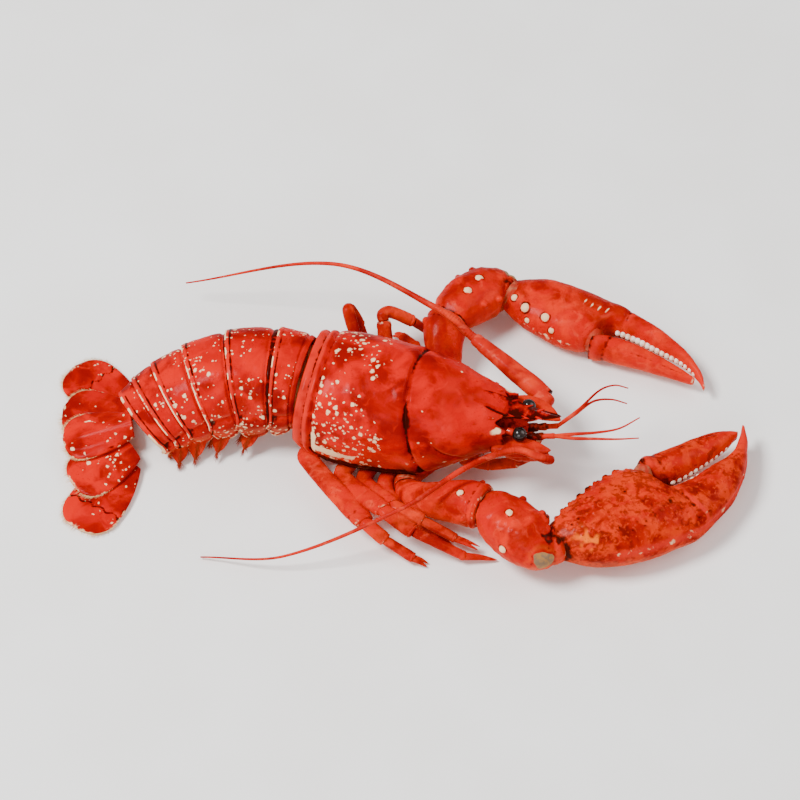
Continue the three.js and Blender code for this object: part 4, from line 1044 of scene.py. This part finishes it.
def palm(claw, spots, heavy, seed):
    """Palm with its fixed finger: swollen behind, with a ridge along the outer edge, a dark furrow where the
    movable finger hinges, a pale step at the fixed finger's root, and a pointed pale tip."""
    t, angle, grid = claw_surface(claw, claw["outer"], claw["inner"], 0, 1, 300, 150, 1, 0.92)
    keel = bell(angle - np.pi, 0.1)
    finger = smooth(0.47, 0.56, t)
    lift = 0.35 * keel * smooth(0.1, 0.3, t) * smooth(1, 0.9, t)
    lift = lift - 0.3 * bell(np.abs(angle - np.pi) - 0.3, 0.1) * finger
    lift = lift + 0.34 * heavy * hills(grid, 9, seed) + 0.15 * heavy * hills(grid, 3.4, seed + 1)
    lift = lift + 0.06 * hills(grid, 1.5, seed + 2)
    lift = lift - 0.7 * bell(t - 0.535, 0.01) * bell(angle - np.pi / 2, 0.9)
    ridge = bell(t - 0.562 - 0.012 * np.sin(3.2 * angle), 0.011) * bell(angle - 2.0, 0.9) * heavy
    outer_rim = bell(angle - 2.85, 0.2) * smooth(0.06, 0.2, t)
    patchy = 0.5 + 0.8 * hills(grid, 4, seed + 3)
    mottled, smoother = heavy > 1, heavy < 1
    shade = bell(angle - 2.45 + 0.2 * t, 0.05) * finger * smooth(1, 0.85, t) * patchy
    furrow = bell(angle - 1.95 - 0.15 * np.sin(9 * t), 0.16) * bell(t - 0.4, 0.2) * heavy * patchy * mottled
    # Four short painted highlight strokes on the upper outer face of the palm, used on the smoother palm
    # only.
    highlight_strokes = sum(bell(t - 0.34 - 0.036 * k, 0.0045) * bell(angle - 1.9 + 0.06 * k, 0.14) for k in range(4))
    from_inner_edge = np.abs((angle + np.pi) % (2 * np.pi) - np.pi)
    collar = bell(t - 0.425, 0.022) * smooth(1.35, 0.9, from_inner_edge) * smoother
    paint = blank_paint(grid)
    add_paint(
        paint,
        pale=0.4 * ridge * patchy + 0.45 * smooth(0.96, 0.995, t) + 0.4 * outer_rim * patchy
        # On the smoother palm: painted highlight strokes, and a painted highlight streak along the inner
        # edge.
        + smoother * (0.9 * highlight_strokes + 0.5 * bell(angle - 0.12, 0.1) * bell(t - 0.25, 0.2)),
        rosy=0.9 * ridge + 0.75 * outer_rim + 0.9 * smooth(0.84, 0.96, t) + 0.9 * collar,
        dark=0.7 * smooth(0.03, 0.0, t) * (0.3 + patchy)
        + 0.55 * bell(t - 0.54, 0.008) * bell(angle - 1.7, 0.9)
        + 0.5 * shade + 0.5 * furrow + 0.34 * collar * patchy,
        gold=1.5 * mottled * bell(t - 0.08, 0.05) * bell(angle - 2.2, 0.5) * hills(grid, 2.2, 30),
        speck=0.12 * smoother,
    )
    grid = raised(grid, lift * smooth(1.0, 0.97, t))
    grid = knobs(grid, paint, spots)
    grid[..., 2] += 0.7 * smooth(2.0, -0.5, grid[..., 2])
    return closed_tube(grid, **paint)


def finger(claw, start, end, heavy, seed):
    """Movable finger: a curved horn with a groove down its top, a dark hinge and a pale point."""
    t, angle, grid = claw_surface(
        claw, lambda s: -claw["finger_inner"](s), claw["finger_outer"], start, end, 170, 96, 0.88, 0.94
    )
    u = (t - start) / (end - start)
    groove = bell(angle - 1.1, 0.12) * smooth(0.1, 0.3, u) * smooth(1, 0.8, u)
    lift = -0.35 * groove + 0.2 * heavy * hills(grid, 6, seed) + 0.07 * hills(grid, 1.8, seed + 1)
    lift = lift + 0.35 * bell(u - 0.06, 0.05) - 0.4 * bell(u - 0.15, 0.03)
    paint = blank_paint(grid)
    add_paint(
        paint, pale=0.4 * smooth(0.96, 0.995, u),
        rosy=0.6 * smooth(0.85, 0.97, u) + 0.6 * bell(u - 0.05, 0.06),
        dark=0.75 * smooth(0.05, 0.0, u) + 0.55 * bell(u - 0.14, 0.02) + 0.45 * groove,
    )
    return closed_tube(raised(grid, lift * smooth(1, 0.96, u)), **paint)


def teeth(claw, edge, side, stations, radius, height, blunt):
    """A row of teeth on a biting edge, biggest in its middle. Each stands on the edge and leans towards the
    tip, and its radius falls like the side of an oval whose power is its bluntness."""
    along, across, up = claw_frame(claw)
    bodies = []
    rise = shares(9)
    for t in stations:
        shrink = 0.5 * abs(t - 0.66) / 0.3
        tall = height * (1.1 - shrink)
        foot = claw_point(claw, t, edge(t) - side * 0.6, 0)
        path = foot + (across * claw["inner_side"] * side * (tall + 0.6) + along * 0.3 * tall) * rise
        r = radius * (1.15 - shrink) * np.maximum(1 - rise**blunt, 0.0) ** (1 / blunt) + 0.02
        bodies.append(rod(path, r, 1.15 * r, 14, up))
    return bodies


cutter_spots = [
    (0.044, 62, 1.5, 1.0, 1), (0.115, 50, 2.0, 1.2, 1), (0.15, 22, 1.2, 0.9, 1), (0.224, 48, 1.9, 1.1, 1),
    (0.272, 28, 1.35, 1.0, 1), (0.2, 6, 1.3, 1.1, 0), (0.27, 4, 1.3, 1.2, 0), (0.34, 5, 1.2, 1.0, 0),
    (0.12, 4, 1.2, 1.0, 0),
]
crusher_spots = [
    (0.07 + 0.024 * k, 8 + 13 * (k % 2) + 3 * (k % 3), 1.15 + 0.22 * (k % 3), 1.1 + 0.3 * (k % 2), -0.95)
    for k in range(15)
]
GRANULES = 190
least, most = (0.04, 18, 0.55, 0.3, -0.7), (0.5, 128, 1.05, 0.55, -0.1)
crusher_spots += [tuple(spot) for spot in np.random.default_rng(19).uniform(least, most, (GRANULES, 5))]
for name, body, finish in (
    ("claw_right_palm", palm(crusher, crusher_spots, 1.3, 11), crusher_shell),
    ("claw_left_palm", palm(cutter, cutter_spots, 0.8, 15), claw_shell),
    ("claw_right_finger", finger(crusher, 0.494, 0.95, 1.2, 31), crusher_shell),
    ("claw_left_finger", finger(cutter, 0.454, 0.94, 0.8, 35), claw_shell),
):
    make(f"{name}_shell", [body], finish, "claw_shell", name)
crusher_teeth = teeth(crusher, crusher["inner"], 1, np.linspace(0.57, 0.87, 11), 1.3, 0.8, 2.2)
crusher_teeth += teeth(crusher, crusher["finger_inner"], -1, np.linspace(0.585, 0.87, 11), 1.2, 0.7, 2.2)
cutter_teeth = teeth(cutter, cutter["inner"], 1, np.linspace(0.52, 0.92, 17), 1.25, 1.6, 3.0)
cutter_teeth += teeth(cutter, cutter["finger_inner"], -1, np.linspace(0.54, 0.9, 15), 0.95, 0.9, 2.0)
make("crusher_teeth", crusher_teeth, ivory_tooth, "claw_shell")
make("cutter_teeth", cutter_teeth, ivory_tooth, "claw_shell")


def hinge_skin(claw, t, inward, wide, tall, deep):
    """Soft skin in the hinge between a palm and its movable finger: a ball squashed to that deep, wide and
    tall."""
    lift = np.linspace(-1, 1, 22)[:, None]
    angle = around(28)
    ring = np.sqrt(np.maximum(1 - lift**2, 0.0004))
    t = t + deep / claw["length"] * ring * np.cos(angle)
    grid = claw_point(claw, t, inward + wide * ring * np.sin(angle), tall * lift)
    return closed_tube(grid + 0.25 * hills(grid, 1.6, 2)[..., None])


make("crusher_hinge_skin", [hinge_skin(crusher, 0.488, 7, 5.5, 9.4, 4)], joint_skin, "underside")
make("cutter_hinge_skin", [hinge_skin(cutter, 0.448, 3, 5.5, 7.0, 4)], joint_skin, "underside")

# ---- Claw arms ----
hip_width = through((0, 0.42), (1, 0.5))
arm_width = through((0, 0.5), (0.3, 0.68), (0.7, 0.94), (0.92, 1.02), (1, 0.9))
wrist_width = through((0, 0.66), (0.15, 0.9), (0.45, 1.06), (0.75, 1), (1, 0.68))


def bezier(start, start_way, end, end_way, count, inset):
    """Cubic Bezier path that leaves start along one direction and reaches end along another."""
    a, d = start + unit(start_way) * inset, end - unit(end_way) * inset
    handle = np.linalg.norm(d - a) / 3
    b, c = a + unit(start_way) * handle, d - unit(end_way) * handle
    t = shares(count)
    return a * (1 - t) ** 3 + 3 * b * t * (1 - t) ** 2 + 3 * c * t * t * (1 - t) + d * t**3


def claw_arm(side, places, claw, size, arm_spots, wrist_spots, bare, shadow_places, seed):
    """Hip, arm and wrist pieces of a claw, and the skins that join them."""
    hip, knee, elbow, wrist = (np.asarray(p, float) for p in places)
    ways = [unit(knee - hip), unit(elbow - knee), unit(wrist - elbow)]
    at_knee, at_elbow, into_claw = ways[0] + ways[1], ways[1] + ways[2], claw_frame(claw)[0]

    def scaled(width, factor):
        """The width curve at this arm's size, times a factor."""
        return lambda t: width(t) * size * factor

    hip_path = bezier(hip, ways[0], knee, at_knee, 40, 0.25)
    arm_path = bezier(knee, at_knee, elbow, at_elbow, 110, 0.25)
    wrist_path = bezier(elbow, at_elbow, wrist, into_claw, 110, 0.25)
    hip_body = limb_tube(hip_path, scaled(hip_width, 1), scaled(hip_width, 0.78), seed=seed)
    arm_body = limb_tube(
        arm_path, scaled(arm_width, 1), scaled(arm_width, 0.84), columns=96, seed=seed + 1, spots=arm_spots
    )
    wrist_body = limb_tube(
        wrist_path, scaled(wrist_width, 1.18), scaled(wrist_width, 1), columns=110, rough=0.3, seed=seed + 2,
        spots=wrist_spots, bare=bare, shadow_places=shadow_places,
    )
    make(f"claw_{side}_hip_shell", [hip_body], leg_shell, "leg_shell", f"claw_{side}_hip")
    make(f"claw_{side}_arm_shell", [arm_body], claw_shell, "claw_shell", f"claw_{side}_arm")
    make(f"claw_{side}_wrist_shell", [wrist_body], claw_shell, "claw_shell", f"claw_{side}_wrist")
    skins = []
    for joint, way, wide in ((knee, at_knee, 0.44), (elbow, at_elbow, 0.74), (wrist, into_claw, 0.76)):
        path = joint + unit(way) * np.linspace(-4, 4, 24)[:, None]
        skins.append(joint_sleeve(path, size * wide, size * wide * 0.9))
    make(f"claw_{side}_joint_skin", skins, joint_skin, "underside")


def joint_sleeve(path, wide, tall):
    """Soft sleeve that bridges a joint: an oval tube with fine folds round it."""
    fold = 1 + 0.03 * np.sin(shares(len(path)) * 40)
    return rod(path, wide * fold, tall * fold, 40)


right_arm = (on_body(58, -12.2, 6), on_body(52, -27, 6.4), (80, -44, 18), crusher["wrist"])
left_arm = (on_body(59, 12.2, 6), on_body(56, 28, 6.4), (66, 60, 17), cutter["wrist"])
claw_arm(
    "right", right_arm, crusher, 10.2,
    [(0.8, 100, 1.5, 1.0, 1), (0.9, 20, 1.4, 1.3, 0), (0.88, 170, 1.5, 1.5, 0)],
    [(0.36, 96, 1.6, 1.0, 1), (0.52, 172, 1.7, 1.1, 1), (0.3, 30, 1.6, 1.3, 0), (0.6, 40, 1.7, 1.4, 0),
     (0.8, 55, 2.6, 1.5, -0.75), (0.9, 80, 2.2, 1.0, -0.7), (0.72, 20, 1.6, 1.2, -0.5)],
    [(0.84, 168, 5.6)],
    # Painted shadow on top of the wrist's far end, beside the claw.
    [(0.93, 100, 6.5), (0.97, 40, 5.0)],
    41,
)
claw_arm(
    "left", left_arm, cutter, 9.6,
    [(0.88, 20, 1.5, 1.3, 0), (0.86, 160, 1.5, 1.4, 0)],
    [(0.3, 96, 1.8, 1.1, 1), (0.52, 86, 1.8, 1.1, 1), (0.35, 150, 1.6, 1.5, 0), (0.65, 150, 1.7, 1.5, 0),
     (0.62, 20, 1.5, 1.2, 0), (0.45, 24, 1.4, 1.0, 0)],
    [(0.93, 40, 3.6)],
    # Painted shadow on top of the wrist's far end, beside the claw.
    [(0.95, 90, 4.5)],
    47,
)


# ---- Walking legs ----
def hip_at(x, sign):
    """Where a leg leaves the chest, x ahead of the carapace's rear edge."""
    return on_body(x, 12.2 * sign, 4.6)


def outside(x, sign):
    """Where a leg's first stretch ends, out from under the carapace."""
    return on_body(x, 28 * sign, 4.6)


leg_routes = {
    "right_2": (
        hip_at(46.5, -1), outside(41.4, -1),
        (43.4, -36.4, 4.6), (54, -44.5, 5), (61, -49.5, 3.6), (66, -52, 1.2),
    ),
    "right_3": (
        hip_at(37.5, -1), outside(32, -1),
        (41.4, -40, 13.6), (54, -47, 12.5), (68, -53, 8), (78, -56, 5),
    ),
    "right_4": (
        hip_at(29, -1), outside(22, -1),
        (38, -45, 16.5), (50, -53, 12.5), (72, -59.5, 4), (86, -59.5, 1.2),
    ),
    "right_5": (
        hip_at(20, -1), on_body(4, -22.5, 7.2),
        (30, -48, 11.5), (38, -54, 8), (50, -60, 3.4), (56, -62, 1.2),
    ),
    "left_2": (hip_at(48, 1), outside(46, 1), (53, 45, 6.5), (50, 55, 6), (45, 61, 4), (41, 64, 1.3)),
    "left_3": (hip_at(39, 1), outside(38, 1), (45, 47, 7), (41, 54, 6), (33, 58, 4), (28, 60, 1.4)),
    "left_4": (hip_at(30, 1), outside(29, 1), (36.5, 60, 24.5), (50, 59, 17), (55, 61.5, 9), (59, 64.5, 1.3)),
    "left_5": (
        hip_at(21, 1), outside(19, 1),
        (20.5, 63, 25), (26.5, 58.5, 14), (29.5, 54, 5), (30, 51.5, 1.3),
    ),
}


def rounded_path(points, radius, count):
    """Path along straight stretches whose corners are rounded over about the given radius."""
    points = [np.asarray(p, float) for p in points]
    marks = [points[0]]
    for before, corner, after in zip(points, points[1:], points[2:]):
        for other in (before, after):
            reach = min(radius, 0.45 * np.linalg.norm(other - corner))
            marks.append(corner + unit(other - corner) * reach)
    marks.append(points[-1])
    return path_through(marks, count)


def leg_part(path, near, far, flat, seed, broad=1.0):
    """One jointed stretch of a leg: narrow where it starts, swelling along its length, with a lip at the far
    end. A broad one is wider sideways by that factor."""
    middle = (near + far) / 2
    width = through(
        (0, near * 0.82), (0.12, near * 0.95), (0.6, middle * 1.04), (0.93, far * 1.08), (1, far * 0.95)
    )
    spread = through((0, broad), (0.85, broad), (1, 1 + (broad - 1) * 0.6))
    return limb_tube(
        path, lambda t: width(t) * spread(t), lambda t: width(t) * flat, columns=32, rough=0.08, seed=seed
    )


def claw_tip(foot, tip, radius, seed):
    """Pointed end of a leg: a slightly bent horn."""
    middle = (foot + tip) / 2 + np.array([0, 0, 0.5])
    width = through((0, radius * 0.86), (0.5, radius * 0.62), (0.9, radius * 0.26), (1, 0.08))
    return limb_tube(path_through([foot, middle, tip], 40), width, width, columns=20, rough=0.03, seed=seed)


BROAD_THIGHS = {"right_5": 1.12, "right_4": 1.34, "right_3": 1.26, "right_2": 1.2}


def walking_leg(name, route, seed):
    """A leg's upper piece, down to just above the knee, and its lower bodies: knee, shank and end. Legs 2 and
    3, and the near leg 5, end in a small pincer of two horns, and the others in a single horn."""
    hip, outer, knee, ankle, wrist, tip = (np.asarray(p, float) for p in route)
    size = 0.95 if name[-1] in "23" else 1.0
    girth = 1.3 if name == "right_5" else 1.0
    broad = BROAD_THIGHS.get(name, 1.0)
    inside = math.acos(float(unit(outer - knee) @ unit(ankle - knee)))
    split = knee + unit(outer - knee) * max(1.15 * 3 * size / math.tan(inside / 2), 1.5 * size)
    thigh = rounded_path([hip, outer, split], 4, 90)
    upper = leg_part(thigh, 2.9 * size * girth, 3.1 * size * girth, 0.8 / girth, seed, broad)
    bend = rounded_path([split, knee, ankle], 3.5, 80)
    shank = path_through([ankle + unit(ankle - wrist) * 0.6, wrist], 60)
    lower = [
        leg_part(bend, 2.8 * size, 2.7 * size, 0.85, seed + 20, 1 + (broad - 1) * 0.7),
        leg_part(shank, 2.3 * size, 2.1 * size, 0.85, seed + 40),
    ]
    end = tip - wrist
    if name[-1] in "23" or name == "right_5":
        spread = unit(np.cross(end, [0, 0, 1])) * 1.1
        lower.append(claw_tip(wrist - end * 0.1 + spread * 0.5, tip + spread, 1.5 * size, seed + 60))
        lower.append(claw_tip(wrist - end * 0.1 - spread * 0.5, tip - spread * 0.8, 1.3 * size, seed + 70))
    else:
        lower.append(claw_tip(wrist - end * 0.06, tip, 2.0 * size, seed + 60))
    return upper, lower


for seed, (name, route) in enumerate(leg_routes.items()):
    upper, lower = walking_leg(name, route, seed)
    make(f"leg_{name}_upper_shell", [upper], leg_shell, "leg_shell", f"leg_{name}_upper")
    make(f"leg_{name}_lower_shell", lower, leg_shell, "leg_shell", f"leg_{name}_lower")


# ---- Head ----
MOUTH_HAIRS = 380
SWIMMERET_HAIRS = 170


def whip(path, radius, ring_length, columns=12, shade=0.0):
    """A feeler's lash: a tapering round rod with a fine raised ring at every step along it, darker by its
    root."""
    length = chord_lengths(path)[:, None]
    t = length / length[-1]
    r = radius(t) * (1 + 0.022 * np.sin(2 * np.pi * length / ring_length))
    dark = 0.28 * (1 + np.sin(2 * np.pi * length / ring_length + 2.2)) / 2
    return rod(path, r, r, columns, dark=np.maximum(dark, shade * smooth(1.0, 0.5, t)))


feeler_bases = {
    "left": body_points((91.4, 9.3, 24.4), (99, 13, 25)) + [(107, 10, 26), (77, 36, 33)],
    "right": body_points((91.4, -9.3, 24.4), (99, -9.5, 24.2), (106, -8.4, 24.4), (110, -11.6, 25.6)),
}
feeler_radii = {"left": (3.8, 3.8, 4.4, 3.0), "right": (3.9, 3.9, 3.2, 2.1)}
feeler_whips = {
    "left": [(77, 36, 33), (61, 47, 40), (15, 76, 36), (-51, 85, 12)],
    "right": body_points((110.3, -12, 25.9), (112, -13.8, 29), (108, -15.8, 31.8))
    + [(93, -24.4, 32.6), (73, -33.2, 32.6), (46, -49, 25), (-5, -63, 9), (-41, -58, 1.4)],
}
small_lashes = {
    "left": (
        ((118, 12, 34), (124.4, 23, 36), (130, 27, 36.5), (136, 27.4, 36)),
        ((117, 10, 33), (123, 18, 34), (130, 21, 34), (137, 21.4, 33)),
    ),
    "right": (
        ((119, -0.4, 32.6), (128, 2.6, 33), (137, 7, 33.5), (144.2, 14.7, 34)),
        ((119, -2, 31.6), (128, 0.4, 31.4), (137, 3, 31), (146, 6.4, 30.6)),
    ),
}


def feeler_root(points, radii, seed):
    """Jointed root of a long feeler: one stout piece between each pair of joints, which lap a little."""
    points = [np.asarray(p, float) for p in points]
    bodies = []
    for k, (a, b) in enumerate(zip(points, points[1:])):
        lap = unit(b - a) * 0.9
        near, far = radii[k], radii[k + 1]
        width = through((0, near * 0.85), (0.2, near), (0.9, far * 1.06), (1, far * 0.9))
        path = path_through([a - lap if k else a, (a + b) / 2, b + lap * 0.6], 60)
        bodies.append(limb_tube(path, width, lambda t: 0.9 * width(t), columns=40, rough=0.09, seed=seed + k))
    return bodies


def eyeball(sign):
    """An eye on a short stalk: a straight rod whose radius swells into a ball. The stalk is painted pale."""
    radius = through(
        (0, 1.5), (0.3, 1.7), (0.42, 2.7), (0.62, 3.3), (0.8, 2.9), (0.93, 1.9), (0.985, 0.9), (1, 0.25)
    )
    start, end = body_points((91.4, 6.6 * sign, 33), (100, 8.6 * sign, 34.6))
    t = shares(60)
    return rod(start + (end - start) * t, radius(t), radius(t), 48, pale=smooth(0.42, 0.36, t))


def small_feeler(sign, routes):
    """A short feeler: a thick root with two necks, which forks into two lashes."""
    root_end = on_body(111, 2.8 * sign, 31.5)
    root = path_through([*body_points((98.0, 2.5 * sign, 26), (104, 2.7 * sign, 28.6)), root_end], 60)
    root_radius = through((0, 1.9), (0.3, 1.95), (0.36, 1.5), (0.6, 1.7), (0.66, 1.3), (1, 1.25))
    lash_radius = through((0, 0.9), (1, 0.28))
    bodies = [whip(root, root_radius, 6.0, 20, 0.75)]
    for route in routes:
        bodies.append(whip(path_through([root_end, *body_points(*route)], 260), lash_radius, 0.9, 8))
    return bodies


def feeler_scale(sign):
    """The flat pointed leaf beside a long feeler's root: a limb piece about a third as thick as it is
    wide."""
    route = body_points((86, 11.2 * sign, 27.5), (98, 11.4 * sign, 29.6), (111, 8.5 * sign, 28.4))
    width = through((0, 4.0), (0.3, 5.4), (0.7, 4.4), (0.93, 1.7), (1, 0.2))
    path = path_through(route, 60)
    return limb_tube(path, width, lambda t: 0.3 + 0.36 * width(t), columns=48, rough=0.1, seed=90)


def mouth_limb(sign):
    """A folded limb under the mouth: three tapering stretches end to end, and hairs along it that lean
    inwards."""
    joints = body_points((71, 5 * sign, 4), (84, 6 * sign, 5.5), (96, 5.5 * sign, 11), (103, 4.2 * sign, 17))
    limb = []
    for k, (a, b, radius) in enumerate(zip(joints, joints[1:], (2.7, 2.6, 2.0))):
        path = path_through([a - unit(b - a) * 0.5, b], 50)
        limb.append(leg_part(path, radius, radius * 0.9, 0.9, 100 + k))
    random = np.random.default_rng(60 + sign)
    roots = path_through(joints, 400)[random.integers(60, 390, MOUTH_HAIRS)]
    aims = np.stack([random.normal(lean, 0.3, MOUTH_HAIRS) for lean in (0.2, -0.8 * sign, 0.6)], axis=-1)
    return limb, bristles(roots, aims, random.uniform(3.2, 4.6, MOUTH_HAIRS), 0.09, pale=0.7)


for sign, side in ((1, "left"), (-1, "right")):
    make(f"eye_{side}_ball", [eyeball(sign)], eye_black, "eye", f"eye_{side}")
    root = feeler_root(feeler_bases[side], feeler_radii[side], 80 + sign)
    make(f"feeler_{side}_root", root, feeler_shell, "feeler", f"feeler_{side}_base")
    lash = whip(path_through(feeler_whips[side], 900), through((0, 2.0), (0.25, 1.3), (1, 0.35)), 1.25)
    make(f"feeler_{side}_lash", [lash], feeler_shell, "feeler", f"feeler_{side}_whip")
    lashes = small_feeler(sign, small_lashes[side])
    make(f"small_feeler_{side}_lashes", lashes, feeler_shell, "feeler", f"small_feeler_{side}")
    make(f"feeler_scale_{side}_plate", [feeler_scale(sign)], leg_shell, "feeler", f"feeler_scale_{side}")
    limb, hairs = mouth_limb(sign)
    make(f"mouth_limb_{side}_shell", limb, leg_shell, "leg_shell", f"mouth_limb_{side}")
    make(f"mouth_limb_{side}_fringe", [hairs], fringe_hair, "underside")


# ---- Swimmerets ----
def swimmeret(number, sign):
    """Two pointed blades that hang from a ring's belly and trail outwards and back, and the hairs along them,
    which are cut short where they would reach the table."""
    share = np.array(RING_ENDS[number] * 0.45 + RING_ENDS[number + 1] * 0.55)
    back, left, up = spine_directions(share)
    out = left * sign
    top = on_spine(share) + out * (tail_half_width(share) * 0.52) - up * (tail_belly(share) * 1.02)
    drop = min(top[2] - 1.2, 12.5)
    width = through((0, 1.5), (0.5, 3.8), (0.8, 3.0), (0.96, 1.0), (1, 0.15))
    random = np.random.default_rng(70 + number * 2 + sign)
    blades, roots, aims = [], [], []
    for spread, lag, depth in ((12.0, 6.0, 0.9), (5.0, 8.0, 1.0)):
        tip = top + out * spread + back * lag
        tip[2] = top[2] - drop * depth
        path = path_through([top, (top + tip) / 2 + out * 1.2, tip], 40)
        blades.append(
            limb_tube(path, width, lambda t: 0.2 + 0.12 * width(t), columns=24, rough=0.05, seed=170)
        )
        spots = random.uniform(0.35, 1.0, SWIMMERET_HAIRS) * (len(path) - 1)
        roots.append(between(spots, np.arange(len(path)), path))
        aside = random.normal(0.55 * sign, 0.35, SWIMMERET_HAIRS)[:, None]
        astern = random.normal(0, 0.3, SWIMMERET_HAIRS)[:, None]
        aims.append(unit(tip - top) + left * aside + back * astern)
    roots, aims = np.concatenate(roots), unit(np.concatenate(aims))
    room = np.where(aims[:, 2] < 0, (roots[:, 2] - 0.3) / np.maximum(-aims[:, 2], 1e-3), 9)
    reach = np.minimum(random.uniform(3.0, 5.5, len(roots)), np.maximum(room, 0.2))
    return blades, bristles(roots, aims, reach, 0.19, pale=0.12)


for number in range(1, 5):
    for sign, side in ((1, "left"), (-1, "right")):
        blades, hairs = swimmeret(number, sign)
        name = f"swimmeret_{number + 1}_{side}"
        make(f"{name}_leaf", blades, leg_shell, "underside", name)
        make(f"{name}_fringe", [hairs], fringe_hair, "underside")


# ---- Table, light and camera ----
def pale_table():
    """Plain matt off-white table top."""
    f = Finish("pale_table", 0.85)
    return f.done(f.wash(tone(246, 244, 241), tone(250, 249, 247), (60, 2), 0.3, 0.7))


REACH = 6  # metres from the middle of the table top to its edges
floor_mesh = bpy.data.meshes.new("table_top")
corners = [(-REACH, -REACH, 0), (REACH, -REACH, 0), (REACH, REACH, 0), (-REACH, REACH, 0)]
floor_mesh.from_pydata(corners, [], [(0, 1, 2, 3)])
floor_mesh.materials.append(pale_table())
floor = bpy.data.objects.new("table_top", floor_mesh)
bpy.context.scene.collection.objects.link(floor)
floor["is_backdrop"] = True

visual_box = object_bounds()
centre = (visual_box[0] + visual_box[1]) / 2


def soft_light(name, place, power, size):
    """A square soft light at a place, aimed at the lobster."""
    data = bpy.data.lights.new(name, "AREA")
    data.energy, data.size = power, size
    lamp = bpy.data.objects.new(name, data)
    lamp.location = place
    lamp.rotation_euler = (centre - Vector(place)).to_track_quat("-Z", "Y").to_euler()
    bpy.context.scene.collection.objects.link(lamp)


soft_light("key_light", (-1.0, -0.15, 1.6), power=54, size=0.6)
soft_light("fill_light", (1.3, 0.2, 1.2), power=14, size=1.2)
soft_light("front_light", (-0.3, -1.5, 0.9), power=12, size=0.9)
ROOM_LIGHT = 0.42
world = bpy.data.worlds.new("soft_room")
world.use_nodes = True
world.node_tree.nodes["Background"].inputs["Color"].default_value = (1, 1, 1, 1)
world.node_tree.nodes["Background"].inputs["Strength"].default_value = ROOM_LIGHT
bpy.context.scene.world = world

ELEVATION = math.radians(52)
DISTANCE = 1.92
LENS = 200
FARTHEST = 50
camera_data = bpy.data.cameras.new("table_camera")
camera_data.lens = LENS
camera_data.clip_end = FARTHEST
camera = bpy.data.objects.new("table_camera", camera_data)
camera.location = centre + Vector((0, -math.cos(ELEVATION), math.sin(ELEVATION))) * DISTANCE
camera.rotation_euler = (centre - camera.location).to_track_quat("-Z", "Y").to_euler()
bpy.context.scene.collection.objects.link(camera)
bpy.context.scene.camera = camera
